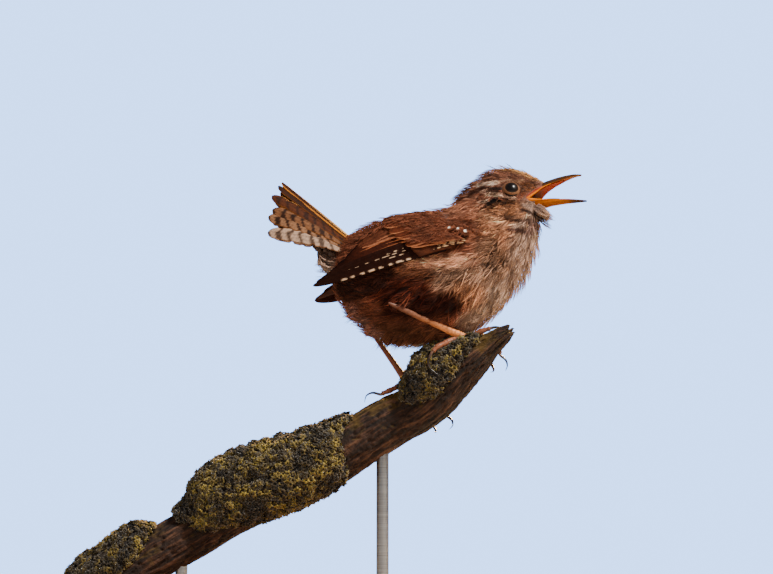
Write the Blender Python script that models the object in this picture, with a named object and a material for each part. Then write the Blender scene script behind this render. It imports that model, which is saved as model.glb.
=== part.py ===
"""A Eurasian wren singing on a cut length of mossy branch, held by a plain display stand.

The bird faces +X and its right side faces -Y. All sizes below are millimetres, and each mesh is
scaled to metres when it is made. The origin is the middle of the underside of the stand's base.
The bird and its perch are laid out from a level RAISE above that, and lifted by it at the end.
"""
import math

import bmesh
import bpy
import numpy as np
from mathutils import Matrix, Vector, noise
from mathutils.bvhtree import BVHTree

MM = 0.001
GAP = 0.3
RAISE = 10.0
FLAT = 1.8

# Feathered body, from the rump forward over the neck to the bill. Each row is one cross-section:
# back point (x, z), belly point (x, z) and half width.
BODY = np.array([
    (2.6, 98.7, 2.1, 94.9, 1.6),
    (3.0, 102.6, 2.6, 89.0, 5.4),
    (5.2, 105.9, 5.9, 83.4, 8.2),
    (9.2, 108.6, 10.7, 78.8, 10.4),
    (15.3, 110.8, 17.7, 76.3, 12.3),
    (21.6, 111.9, 26.3, 76.2, 13.4),
    (26.9, 112.7, 35.5, 78.6, 13.8),
    (30.9, 113.6, 43.9, 84.5, 13.4),
    (32.5, 115.2, 50.5, 93.2, 12.2),
    (34.1, 116.8, 54.3, 101.2, 10.7),
    (36.2, 118.7, 55.7, 106.6, 9.5),
    (38.9, 121.1, 55.8, 109.8, 8.5),
    (42.2, 123.0, 55.7, 111.2, 7.6),
    (46.3, 123.7, 55.9, 112.0, 6.5),
    (50.5, 123.0, 56.4, 112.5, 5.2),
    (54.2, 121.3, 57.0, 112.8, 4.0),
    (57.0, 119.7, 57.6, 113.3, 3.0),
])
BODY_RINGS = 34
BODY_SIDES = 24
BELLY_TAPER = 0.24
NECK_CUT = 8.7
HEAD_CUT = 10.5

# The head is turned towards the viewer and rolled a little, about a pivot between the ears.
HEAD_PIVOT = Vector((46.5, 0.0, 117.0))
HEAD_TURN = math.radians(18)
HEAD_ROLL = math.radians(6)
TURN_FROM, TURN_TO = 7.8, 11.0

# Bill, in the head's own axes with x forward from the pivot: x, culmen, cutting edge, half width.
BILL_TIP = 20.4
UPPER_BILL = np.array([
    (7.2, -0.4, -2.5, 3.3),
    (8.6, 0.9, -1.2, 3.1),
    (10.2, 2.1, 0.1, 2.6),
    (13.0, 3.1, 1.5, 1.75),
    (16.0, 3.8, 2.65, 1.1),
    (18.5, 4.1, 3.4, 0.66),
    (BILL_TIP, 3.95, 3.6, 0.25),
])
LOWER_BILL = np.array([
    (7.2, -5.0, -3.1, 3.2),
    (8.8, -4.9, -3.05, 2.9),
    (10.5, -4.55, -3.0, 2.4),
    (13.0, -4.1, -2.8, 1.6),
    (16.5, -3.8, -2.75, 1.0),
    (19.3, -3.7, -2.95, 0.6),
    (BILL_TIP + 0.9, -3.6, -3.25, 0.25),
])
BILL_RINGS = 11
NOSTRIL = (11.2, 1.75, 2.05)
NOSTRIL_SIZE = (0.75, 0.5, 0.3)

EYE_AT = (3.45, -0.35)
EYE_RADIUS = 2.35
EYE_SHOWS = 0.95
LID_RADIUS = 1.95
LID_THICK = 0.42
LID_SIDES = 14

# Tips of the loose chin feathers in the head's axes: across, forward, down.
CHIN_TIPS = ((-1.5, 12.1, 7.8), (0.0, 12.4, 7.2), (1.5, 12.1, 7.8), (-0.8, 12.0, 9.6), (0.8, 12.0, 9.6))

# Tail, cocked above the back and arched across: its sides hang lower than its middle pair.
TAIL_ROOT = Vector((8.6, 0.0, 100.1))
TAIL_COCK = math.radians(139)
TAIL_ARCH_WIDE, TAIL_ARCH_DEEP, TAIL_ARCH_TURN = 6.6, 11.0, 8.5
TAIL_FAN = (1.6, 6.2, 11.0, 15.7, 20.4, 25.0)
TAIL_LENGTHS = (30.0, 30.0, 29.8, 29.2, 28.2, 26.8)
TAIL_FEATHER = 2.45

# Legs and feet. The heel is the joint at the top of the bare shank, the ankle is where the toes meet.
SHANK = 0.8
HIP_R, HEEL_R, ANKLE_R = Vector((25.0, -6.0, 94.0)), Vector((17.0, -10.9, 85.2)), Vector((34.2, -5.3, 78.3))
HIP_L, HEEL_L, ANKLE_L = Vector((19.0, 6.0, 91.0)), Vector((11.0, 8.3, 81.0)), Vector((20.3, 4.5, 67.2))
TOE_RADIUS = 0.72
CLAW_RADIUS = 0.44

# Each toe as points from the ankle to its end, and its claw as points from its root to its tip.
TOES_R = {
    "hind": (
        ((30.6, -6.4, 76.5), (28.2, -7.2, 75.3), (26.9, -7.6, 74.0)),
        ((25.6, -8.0, 71.3), (26.3, -8.2, 69.4), (28.2, -8.2, 67.8)),
    ),
    "inner": (
        ((36.4, -5.9, 78.2), (39.7, -6.8, 79.4), (41.7, -7.3, 80.0)),
        ((43.2, -7.7, 80.3), (44.1, -8.0, 80.2), (44.7, -8.2, 79.6)),
    ),
    "middle": (
        ((36.6, -3.9, 78.6), (38.9, -2.4, 78.9), (41.6, -1.9, 78.2), (43.7, -2.0, 76.2), (44.5, -2.5, 74.0)),
        ((45.9, -2.9, 72.3), (46.3, -3.1, 70.8), (45.8, -3.4, 69.4)),
    ),
    "outer": (
        ((35.4, -2.4, 78.6), (36.8, 0.7, 77.7), (39.4, 1.9, 75.3), (41.4, 1.0, 72.9), (42.3, -0.3, 71.4)),
        ((42.8, -2.2, 69.9), (42.5, -3.2, 69.2), (41.8, -4.1, 69.0)),
    ),
}
TOES_L = {
    "hind": (
        ((18.0, 4.0, 66.1), (15.6, 3.5, 64.9), (13.7, 3.1, 64.1)),
        ((11.2, 2.8, 64.3), (9.6, 2.6, 63.5), (9.1, 2.4, 61.7)),
    ),
    "inner": (
        ((22.1, 5.7, 67.8), (25.5, 7.2, 68.1), (29.1, 7.5, 68.0), (31.2, 7.1, 68.2)),
        ((33.6, 6.6, 68.7), (34.9, 6.0, 68.4), (35.6, 5.1, 67.7)),
    ),
    "middle": (
        ((22.6, 7.7, 66.3), (26.6, 9.9, 63.4), (29.9, 8.7, 60.1), (31.0, 6.6, 58.5)),
        ((32.1, 4.8, 57.2), (32.2, 3.9, 55.8), (31.3, 3.3, 54.7)),
    ),
    "outer": (
        ((21.2, 7.6, 66.0), (22.6, 10.3, 64.3), (24.4, 11.0, 61.3), (26.1, 10.3, 58.2), (26.9, 9.2, 56.7)),
        ((27.8, 7.0, 54.9), (27.8, 5.8, 54.2), (27.3, 4.7, 54.2)),
    ),
}

# Perch: axis points x, y, z and radius of the wood, from the sawn end up to the broken tip.
PERCH = np.array([
    (-67.3, 13.5, 10.6, 6.6),
    (-55.0, 13.2, 17.5, 6.7),
    (-37.1, 12.6, 27.6, 6.8),
    (-24.8, 12.0, 34.7, 6.8),
    (-3.2, 9.5, 44.5, 6.7),
    (7.4, 7.6, 51.6, 7.0),
    (17.1, 5.4, 57.4, 6.8),
    (22.9, 3.6, 59.9, 6.4),
    (28.1, 1.6, 63.6, 6.2),
    (32.2, -0.6, 67.6, 5.8),
    (35.8, -2.8, 70.8, 5.2),
    (39.1, -4.9, 73.7, 4.4),
    (42.4, -6.9, 76.3, 3.2),
    (45.0, -8.5, 78.2, 2.5),
    (46.6, -9.5, 79.3, 1.7),
])
PERCH_SIDES = 14
PERCH_RINGS = 30

# Moss and lichen pads: x, height, and the angles between which the pad covers the wood. The angle
# is 0 on top and grows towards the viewer.
MOSS_BULGE = np.array([
    (-38.5, 0.5, -40, 50),
    (-34.0, 3.0, -75, 105),
    (-28.0, 6.0, -95, 125),
    (-20.0, 6.3, -100, 150),
    (-12.0, 5.8, -100, 165),
    (-6.0, 4.6, -95, 165),
    (0.0, 3.6, -85, 155),
    (4.0, 2.6, -60, 130),
    (7.0, 0.6, -20, 80),
])
MOSS_TOP = np.array([
    (21.5, 0.5, 5, 55),
    (24.0, 1.6, -30, 80),
    (27.0, 3.4, -48, 100),
    (30.0, 4.6, -55, 110),
    (34.0, 3.9, -50, 105),
    (38.0, 1.8, -35, 85),
    (41.0, 0.6, 5, 60),
])
MOSS_LOW = np.array([
    (-65.0, 0.6, -20, 60),
    (-61.0, 1.9, -45, 85),
    (-55.0, 2.3, -50, 90),
    (-50.0, 3.0, -50, 80),
    (-46.5, 2.4, -45, 55),
    (-43.5, 0.5, -10, 30),
])

# Stand: an oval base and two rods let into the perch from below.
BASE_LONG, BASE_WIDE, BASE_HIGH = 58.0, 40.0, 8.0
ROD_XS = {"front": 13.5, "rear": -39.5}
ROD_RADIUS, ROD_SINK = 1.6, 4.0


def material(name, colour, roughness, metallic=0.0):
    made = bpy.data.materials.new(name)
    made.use_nodes = True
    shader = made.node_tree.nodes["Principled BSDF"]
    shader.inputs["Base Color"].default_value = (*colour, 1.0)
    shader.inputs["Roughness"].default_value = roughness
    shader.inputs["Metallic"].default_value = metallic
    return made


def smooth_rows(rows, at):
    """Rows of a table read between its lines, at 0 for the first and 1 for the next, by a smooth curve."""
    at = min(max(at, 0.0), len(rows) - 1.0)
    low = min(int(at), len(rows) - 2)
    part = at - low
    before = rows[max(low - 1, 0)]
    after = rows[min(low + 2, len(rows) - 1)]
    start, end = rows[low], rows[low + 1]
    slope_in, slope_out = (end - before) / 2, (after - start) / 2
    squared, cubed = part * part, part ** 3
    return (
        start * (2 * cubed - 3 * squared + 1)
        + slope_in * (cubed - 2 * squared + part)
        + end * (3 * squared - 2 * cubed)
        + slope_out * (cubed - squared)
    )


def row_of_x(rows, x):
    """The place in a table whose first column is x."""
    return float(np.interp(x, rows[:, 0], np.arange(len(rows))))


def ease(value, low, high):
    part = min(max((value - low) / (high - low), 0.0), 1.0)
    return part * part * (3 - 2 * part)


def object_from(shape, name, finish=None):
    """A mesh object from a bmesh in metres, with its faces turned outwards."""
    bmesh.ops.recalc_face_normals(shape, faces=shape.faces)
    if shape.calc_volume(signed=True) < 0:
        bmesh.ops.reverse_faces(shape, faces=shape.faces)
    mesh = bpy.data.meshes.new(name)
    shape.to_mesh(mesh)
    shape.free()
    obj = bpy.data.objects.new(name, mesh)
    bpy.context.scene.collection.objects.link(obj)
    if finish:
        mesh.materials.append(finish)
    return obj


def closed_object(name, points, faces, finish=None):
    """A closed object from points in millimetres and the faces between them."""
    shape = bmesh.new()
    verts = [shape.verts.new(Vector(p) * MM) for p in points]
    for face in faces:
        shape.faces.new([verts[k] for k in face])
    return object_from(shape, name, finish)


def loft(name, rings, finish=None):
    """A closed solid through rings of equal length, with a fan of faces at each end."""
    count = len(rings[0])
    points = [p for ring in rings for p in ring]
    faces = []
    for i in range(len(rings) - 1):
        for j in range(count):
            k = (j + 1) % count
            a, b = i * count, (i + 1) * count
            faces.append((a + j, a + k, b + k))
            faces.append((a + j, b + k, b + j))
    for start in (0, (len(rings) - 1) * count):
        middle = np.mean([np.array(points[start + j]) for j in range(count)], axis=0)
        points.append(Vector(middle))
        faces += [(start + j, start + (j + 1) % count, len(points) - 1) for j in range(count)]
    return closed_object(name, points, faces, finish)


def applied(obj):
    """Replaces the object's mesh by what its modifiers make of it."""
    graph = bpy.context.evaluated_depsgraph_get()
    made = bpy.data.meshes.new_from_object(obj.evaluated_get(graph))
    obj.modifiers.clear()
    obj.data = made
    return obj


def tidied(obj):
    """Keeps the largest closed surface, which drops sealed hollows and scraps, and merges flat faces."""
    shape = bmesh.new()
    shape.from_mesh(obj.data)
    left = set(shape.verts)
    groups = []
    while left:
        group, border = set(), [left.pop()]
        while border:
            vert = border.pop()
            group.add(vert)
            for edge in vert.link_edges:
                other = edge.other_vert(vert)
                if other in left:
                    left.remove(other)
                    border.append(other)
        groups.append(group)
    groups.sort(key=len)
    for group in groups[:-1]:
        bmesh.ops.delete(shape, geom=list(group), context="VERTS")
    bmesh.ops.dissolve_limit(shape, angle_limit=math.radians(FLAT), verts=shape.verts, edges=shape.edges)
    bmesh.ops.triangulate(shape, faces=shape.faces)
    shape.to_mesh(obj.data)
    shape.free()
    return obj


def fuse(name, pieces, finish):
    """One closed body from pieces that overlap."""
    whole, others = pieces[0], pieces[1:]
    group = bpy.data.collections.new(name + "_pieces")
    bpy.context.scene.collection.children.link(group)
    for piece in others:
        bpy.context.scene.collection.objects.unlink(piece)
        group.objects.link(piece)
    union = whole.modifiers.new("fuse", "BOOLEAN")
    union.operation = "UNION"
    union.operand_type = "COLLECTION"
    union.collection = group
    applied(whole)
    for piece in others:
        bpy.data.objects.remove(piece)
    bpy.data.collections.remove(group)
    whole.name = whole.data.name = name
    whole.data.materials.clear()
    whole.data.materials.append(finish)
    return tidied(whole)


def cut(obj, cutters, keep_cutters=False):
    """Takes the cutters' space out of the object."""
    for cutter in cutters:
        difference = obj.modifiers.new("cut", "BOOLEAN")
        difference.operation = "DIFFERENCE"
        difference.object = cutter
    applied(obj)
    if not keep_cutters:
        for cutter in cutters:
            bpy.data.objects.remove(cutter)
    return tidied(obj)


def frames_along(path, up):
    """Tangent, side and upward direction at each point of a path, turning as little as they can."""
    frames = []
    normal = Vector(up)
    for i, point in enumerate(path):
        tangent = (path[min(i + 1, len(path) - 1)] - path[max(i - 1, 0)]).normalized()
        normal = (normal - tangent * normal.dot(tangent)).normalized()
        frames.append((tangent, tangent.cross(normal), normal))
    return frames


def tube(name, path, radii, sides, up=(0, 0, 1), flat=1.0, finish=None):
    """A round tube through the path. flat is its height over its width."""
    rings = []
    for point, radius, (_, side, normal) in zip(path, radii, frames_along(path, up)):
        ring = []
        for j in range(sides):
            angle = 2 * math.pi * j / sides
            ring.append(point + side * math.cos(angle) * radius + normal * math.sin(angle) * radius * flat)
        rings.append(ring)
    return loft(name, rings, finish)


def curve_through(points, count):
    """Points at even steps on a smooth curve through the given ones."""
    rows = np.array([tuple(p) for p in points])
    return [Vector(smooth_rows(rows, (len(rows) - 1) * i / (count - 1))) for i in range(count)]


def vane(path, half_widths, normals, thick, crown=0.12):
    """A feather as a thin closed strip with a raised shaft line. Both faces are split alike."""
    points, faces = [], []
    last = len(path) - 1
    for i, point in enumerate(path):
        tangent = (path[min(i + 1, last)] - path[max(i - 1, 0)]).normalized()
        normal = (normals[i] - tangent * normals[i].dot(tangent)).normalized()
        side = tangent.cross(normal)
        half = half_widths[i]
        rise = normal * half * crown
        up = normal * thick[i] / 2
        edges = (point - side * half, point + rise, point + side * half)
        points += [e + up for e in edges] + [e - up for e in edges]
    for i in range(last):
        a, b = 6 * i, 6 * (i + 1)
        for j in (0, 1):
            faces += [(a + j, a + j + 1, b + j + 1), (a + j, b + j + 1, b + j)]
            faces += [(a + 3 + j, b + 4 + j, a + 4 + j), (a + 3 + j, b + 3 + j, b + 4 + j)]
        for top, low in ((0, 3), (2, 5)):
            faces += [(a + top, b + top, b + low), (a + top, b + low, a + low)]
    for a in (0, 6 * last):
        faces += [(a, a + 1, a + 4), (a, a + 4, a + 3), (a + 1, a + 2, a + 5), (a + 1, a + 5, a + 4)]
    return closed_object("vane", points, faces)


def vane_widths(half, count, root=0.55, tip=0.22):
    """Half widths of a feather from root to tip, widest past the middle and round at the end."""
    widths = []
    for i in range(count):
        part = i / (count - 1)
        body = root + (1 - root) * ease(part, 0.0, 0.45)
        widths.append(half * body * (1 - (1 - tip) * ease(part, 0.72, 1.0)))
    return widths


def head_matrix(share=1.0):
    """Turns and rolls the head about its pivot by a share of the full amount."""
    turn = Matrix.Rotation(-HEAD_TURN * share, 4, "Z") @ Matrix.Rotation(-HEAD_ROLL * share, 4, "X")
    return Matrix.Translation(HEAD_PIVOT) @ turn @ Matrix.Translation(-HEAD_PIVOT)


def in_head(x, y, z):
    """A point given in the head's own axes, from its pivot."""
    return head_matrix() @ (HEAD_PIVOT + Vector((x, y, z)))


def body_ring(at, grow=0.0):
    """One cross-section of the feathered body, its belly half narrower than its back."""
    back_x, back_z, belly_x, belly_z, half = smooth_rows(BODY, at)
    back, belly = Vector((back_x, 0, back_z)), Vector((belly_x, 0, belly_z))
    middle, reach = (back + belly) / 2, (back - belly) / 2
    tall = reach.length
    upward = reach / tall
    turn = head_matrix(ease(at, TURN_FROM, TURN_TO))
    taper = BELLY_TAPER * (1 - ease(at, 7.0, 9.5))
    ring = []
    for j in range(BODY_SIDES):
        angle = 2 * math.pi * (j + 0.5) / BODY_SIDES
        low = max(0.0, -math.sin(angle))
        wide = (half + grow) * math.cos(angle) * (1 - taper * low * low)
        ring.append(turn @ (middle + upward * (tall + grow) * math.sin(angle) + Vector((0, wide, 0))))
    return ring


def body_solid(name, grow=0.0):
    """The whole feathered body, or the room it needs when it is grown by a gap on every side."""
    last = len(BODY) - 1
    rings = [body_ring(last * i / (BODY_RINGS - 1), grow) for i in range(BODY_RINGS)]
    if grow:
        for end, inner in ((0, 1), (-1, -2)):
            outward = (sum(rings[end], Vector()) - sum(rings[inner], Vector())).normalized()
            rings[end] = [p + outward * grow * 1.5 for p in rings[end]]
    return loft(name, rings)


def part_of_body(whole, name, low, high, finish):
    """The stretch of the body between two cross-section planes, each set back by half the gap."""
    obj = bpy.data.objects.new(name, whole.data.copy())
    bpy.context.scene.collection.objects.link(obj)
    shape = bmesh.new()
    shape.from_mesh(obj.data)
    for at, sign in ((low, 1), (high, -1)):
        if at is None:
            continue
        ring = body_ring(at)
        middle = sum(ring, Vector()) / len(ring)
        normal = (ring[0] - middle).cross(ring[BODY_SIDES // 4] - middle).normalized()
        ahead = sum(body_ring(at + 0.2), Vector()) / len(ring) - middle
        normal = normal * (sign if normal.dot(ahead) > 0 else -sign)
        where = (middle + normal * GAP / 2) * MM
        parts = shape.verts[:] + shape.edges[:] + shape.faces[:]
        sliced = bmesh.ops.bisect_plane(shape, geom=parts, plane_co=where, plane_no=normal, clear_inner=True)
        rim = [e for e in sliced["geom_cut"] if isinstance(e, bmesh.types.BMEdge)]
        bmesh.ops.triangulate(shape, faces=bmesh.ops.contextual_create(shape, geom=rim)["faces"])
    bmesh.ops.recalc_face_normals(shape, faces=shape.faces)
    shape.to_mesh(obj.data)
    shape.free()
    obj.data.materials.append(finish)
    return obj


def bill_half(name, table, upper, grow=0.0, finish=None):
    """One half of the bill: an arched outside and a hollowed inside, drawn out to a point."""
    rings = []
    for i in range(BILL_RINGS):
        x, ridge, edge, half = smooth_rows(table, (len(table) - 1) * i / (BILL_RINGS - 1))
        sign = 1 if upper else -1
        deep = (ridge - edge) * sign
        ring = []
        for j in range(9):
            angle = math.pi * j / 8
            height = edge - sign * grow + sign * (deep + 2 * grow) * math.sin(angle) ** 0.8
            ring.append((x, (half + grow) * math.cos(angle), height))
        for j in range(1, 4) if not grow else ():
            angle = math.pi * (1 - j / 4)
            hollow = 0.45 * ease(BILL_TIP - x, 2.0, 8.0)
            ring.append((x, half * 0.62 * math.cos(angle), edge + sign * deep * hollow * math.sin(angle)))
        rings.append([in_head(*p) for p in ring])
    if grow:
        behind = in_head(1, 0, 0) - in_head(0, 0, 0)
        rings[0] = [p - behind * grow for p in rings[0]]
    return loft(name, rings, finish)


def mouth_cutter():
    """The open mouth between the two halves of the bill, as a wedge that ends at its corner."""
    profile = ((6.3, -2.8), (13.0, 1.4), (13.0, -3.0), (6.3, -3.1))
    rings = [[in_head(x, y, z) for x, z in profile] for y in (-6.0, 6.0)]
    return loft("mouth", rings)


def ball(name, centre, radii, rings=10, sides=16, finish=None):
    """A closed ellipsoid from a sphere primitive."""
    shape = bmesh.new()
    bmesh.ops.create_uvsphere(shape, u_segments=sides, v_segments=rings, radius=MM)
    bmesh.ops.scale(shape, vec=radii, verts=shape.verts)
    bmesh.ops.translate(shape, vec=Vector(centre) * MM, verts=shape.verts)
    return object_from(shape, name, finish)


def upright(name, x, y, low, high, radius, sides, finish=None):
    """A round rod or hole standing between two heights."""
    shape = bmesh.new()
    bmesh.ops.create_cone(
        shape, cap_ends=True, segments=sides, radius1=radius * MM, radius2=radius * MM, depth=(high - low) * MM
    )
    bmesh.ops.translate(shape, vec=Vector((x, y, (low + high) / 2)) * MM, verts=shape.verts)
    return object_from(shape, name, finish)


def surface_point(tree, start, direction):
    """Where a ray in millimetres meets a mesh: the point and the outward direction there."""
    place, normal, _, _ = tree.ray_cast(start * MM, direction.normalized())
    return place / MM, normal


def tree_of(obj):
    shape = bmesh.new()
    shape.from_mesh(obj.data)
    tree = BVHTree.FromBMesh(shape)
    shape.free()
    return tree


def make_head(whole, body_room, plumage, horn, iris):
    head = part_of_body(whole, "head", HEAD_CUT, None, plumage)
    tree = tree_of(head)
    lids, sockets = [], []
    for name, side in (("eye_right", -1), ("eye_left", 1)):
        start = in_head(EYE_AT[0], side * 20, EYE_AT[1])
        inward = in_head(EYE_AT[0], 0, EYE_AT[1]) - start
        place, normal = surface_point(tree, start, inward)
        centre = place + normal * (EYE_SHOWS - EYE_RADIUS)
        ball(name, centre, (EYE_RADIUS,) * 3, 8, 14, finish=iris)
        sockets.append(ball("socket", centre, (EYE_RADIUS + GAP,) * 3, 8, 14))
        along = normal.orthogonal().normalized()
        across = normal.cross(along)
        rings = []
        for i in range(LID_SIDES):
            angle = 2 * math.pi * i / LID_SIDES
            outward = along * math.cos(angle) + across * math.sin(angle)
            hub = place + normal * 0.12 + outward * (LID_RADIUS + 0.35)
            rings.append([
                hub + outward * LID_THICK * math.cos(turn) + normal * LID_THICK * math.sin(turn)
                for turn in (2 * math.pi * k / 5 for k in range(5))
            ])
        points = [p for ring in rings for p in ring]
        faces = []
        for i in range(LID_SIDES):
            for j in range(5):
                a, b = 5 * i, 5 * ((i + 1) % LID_SIDES)
                k = (j + 1) % 5
                faces += [(a + j, b + j, b + k), (a + j, b + k, a + k)]
        lids.append(closed_object("lid", points, faces))
    head = fuse("head", [head] + lids + chin_tufts(), plumage)
    upper_room = bill_half("upper_room", UPPER_BILL, True, GAP)
    lower_room = bill_half("lower_room", LOWER_BILL, False, GAP)
    neck_room = part_of_body(body_room, "neck_room", NECK_CUT, HEAD_CUT, plumage)
    cut(head, sockets + [upper_room, lower_room, mouth_cutter(), neck_room])
    bill_upper = bill_half("bill_upper", UPPER_BILL, True, finish=horn)
    bill_half("bill_lower", LOWER_BILL, False, finish=horn)
    holes = [ball("hole", in_head(NOSTRIL[0], side * NOSTRIL[1], NOSTRIL[2]), NOSTRIL_SIZE, 6, 8)
             for side in (-1, 1)]
    cut(bill_upper, holes)


def chin_tufts():
    """Loose feathers that stand out below the bill."""
    tufts = []
    for across, forward, drop in CHIN_TIPS:
        root, tip = in_head(8.4, across * 0.6, -4.7), in_head(forward, across, -drop)
        bend = (root + tip) / 2 + Vector((0.5, 0, 0.3))
        normals = [Vector((0.75, 0, 0.65))] * 5
        path = curve_through([root, bend, tip], 5)
        tufts.append(vane(path, vane_widths(1.0, 5, 0.8, 0.15), normals, (0.6, 0.6, 0.55, 0.5, 0.35)))
    return tufts


def on_tail(side, along, across, lift):
    """A point on the arched tail, along it from the root and across it from the middle, and its normal."""
    axis = Vector((math.cos(TAIL_COCK), 0, math.sin(TAIL_COCK)))
    upper = Vector((math.sin(TAIL_COCK), 0, -math.cos(TAIL_COCK)))
    turn = across / TAIL_ARCH_TURN
    out, down = TAIL_ARCH_WIDE * math.sin(turn), TAIL_ARCH_DEEP * (1 - math.cos(turn))
    slope = math.atan2(TAIL_ARCH_DEEP * math.sin(turn), TAIL_ARCH_WIDE * math.cos(turn))
    normal = upper * math.cos(slope) + Vector((0, side * math.sin(slope), 0))
    return TAIL_ROOT + axis * along - upper * down + Vector((0, side * out, 0)) + normal * lift, normal


def tail_feather(side, fan, length, half, lift):
    """One feather of the tail, which leaves the root at its own angle within the fan."""
    count = 5
    path, normals = [], []
    for i in range(count):
        part = i / (count - 1)
        along = length * part * math.cos(math.radians(fan))
        across = 0.3 + fan * 0.06 + length * part * math.sin(math.radians(fan))
        point, normal = on_tail(side, along, across, lift + 0.8 * math.sin(math.pi * part))
        path.append(point)
        normals.append(normal)
    return vane(path, vane_widths(half, count, 0.5, 0.42), normals, (0.62, 0.62, 0.6, 0.52, 0.35))


def make_tail(body_room, plumage):
    """Twelve tail feathers in a fan, with the coverts above and below their roots."""
    axis = Vector((math.cos(TAIL_COCK), 0, math.sin(TAIL_COCK)))
    core = [TAIL_ROOT + axis * d for d in (-2, 0, 4, 8, 12, 15)]
    pieces = [tube("tail_core", core, (2.2, 3.2, 3.3, 2.6, 1.7, 0.8), 12, flat=0.9)]
    for side in (-1, 1):
        raised = 0.35 if side > 0 else 0.0
        for k, (fan, length) in enumerate(zip(TAIL_FAN, TAIL_LENGTHS)):
            pieces.append(tail_feather(side, fan, length, TAIL_FEATHER, raised + 0.9 - 0.3 * k))
        for k in range(2):
            pieces.append(tail_feather(side, 2.0 + 12 * k, 15.5 - 1.5 * k, 2.8, raised + 1.8 - 0.35 * k))
    pieces.append(ball("vent", Vector((2.6, 0, 98.4)), (5.0, 4.2, 4.0), 6, 10))
    for across, drop, length in ((-3.2, 0.0, 19.5), (3.2, 0.0, 19.5), (-1.5, 1.3, 21.5), (1.5, 1.3, 21.5)):
        heading = Vector((-1, across * 0.06, 0.58)).normalized()
        start = Vector((3.4, across, 97.6 - drop))
        path = [start + heading * length * i / 4 - Vector((0, 0, 1.1 * math.sin(math.pi * i / 4))) for i in range(5)]
        under = Vector((-0.4, across * 0.22, -1)).normalized()
        pieces.append(vane(path, vane_widths(2.4, 5, 0.6, 0.25), [under] * 5, (0.6, 0.6, 0.6, 0.52, 0.35)))
    tail = fuse("tail", pieces, plumage)
    return cut(tail, [body_room], keep_cutters=True)


# Wing outline seen from the side: x, lower edge, upper edge, and how far the wing lies from the middle.
WING = np.array([
    (-3.6, 91.2, 91.6, 8.4),
    (-1.0, 91.4, 94.2, 8.9),
    (4.2, 92.6, 99.4, 10.0),
    (9.3, 94.2, 103.8, 11.3),
    (18.4, 96.6, 107.8, 13.3),
    (28.7, 99.0, 110.6, 13.9),
    (34.6, 101.6, 110.2, 13.0),
    (38.6, 104.4, 107.6, 11.4),
])
WING_DROP = {-1: 0.0, 1: 1.2}


def wing_point(side, x, z, lift):
    """A point on the outside of the folded wing, which curves in towards the back."""
    _, low, high, out = smooth_rows(WING, row_of_x(WING, x))
    middle, tall = 95.5, 18.4
    bend = math.sqrt(max(0.05, 1 - ((z - middle) / tall) ** 2))
    droop = WING_DROP[side] * ease(30 - x, 0, 30)
    return Vector((x, side * (out * bend + lift), z - droop))


def wing_normal(side, x, z):
    here = wing_point(side, x, z, 0)
    ahead, above = wing_point(side, x + 0.5, z, 0) - here, wing_point(side, x, z + 0.5, 0) - here
    normal = ahead.cross(above).normalized()
    return normal if normal.y * side > 0 else -normal


def wing_vane(side, root, tip, half, lift, bow, count):
    """A feather lying on the wing, bowed upwards between its root and its tip."""
    path, normals = [], []
    for i in range(count):
        part = i / (count - 1)
        x = root[0] + (tip[0] - root[0]) * part
        z = root[1] + (tip[1] - root[1]) * part + bow * math.sin(math.pi * part)
        sunk = 1 - ease(part, 0.0, 0.3)
        path.append(wing_point(side, x, z, lift * (1 - 0.35 * part) * (1 - sunk) - 0.5 * sunk))
        normals.append(wing_normal(side, x, z))
    thick = [0.62] * (count - 2) + [0.52, 0.35]
    return vane(path, vane_widths(half, count, 0.5, 0.25), normals, thick, 0.1)


def between(first, last, part):
    return tuple(a + (b - a) * part for a, b in zip(first, last))


# Families of wing feathers: count, first root, last root, first tip, last tip, half width, first and
# last lift, and bow. The first of a family is its lowest feather.
WING_FEATHERS = (
    (4, (32.0, 100.8), (26.0, 102.6), (-3.2, 91.6), (0.6, 95.6), 2.1, 0.25, 0.75, 0.9),
    (2, (33.0, 100.4), (31.0, 100.8), (10.5, 94.2), (3.0, 92.6), 1.7, 0.0, 0.15, 0.6),
    (4, (27.0, 103.0), (23.0, 106.0), (2.0, 97.0), (6.0, 101.4), 2.1, 0.9, 1.4, 1.1),
    (2, (23.5, 106.4), (22.0, 108.6), (8.4, 102.8), (12.6, 105.8), 2.6, 1.6, 1.9, 0.7),
    (2, (34.0, 101.2), (32.5, 102.4), (21.6, 97.8), (20.8, 99.6), 1.7, 0.9, 1.2, 0.4),
    (4, (32.4, 103.0), (25.0, 109.0), (21.6, 100.6), (15.6, 106.8), 2.2, 1.6, 2.1, 0.3),
    (2, (34.6, 105.0), (29.6, 108.8), (26.8, 103.8), (22.6, 107.8), 2.5, 2.0, 2.3, 0.2),
    (1, (35.6, 102.8), (35.6, 102.8), (27.2, 100.4), (27.2, 100.4), 1.7, 1.5, 1.5, 0.2),
)


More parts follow.
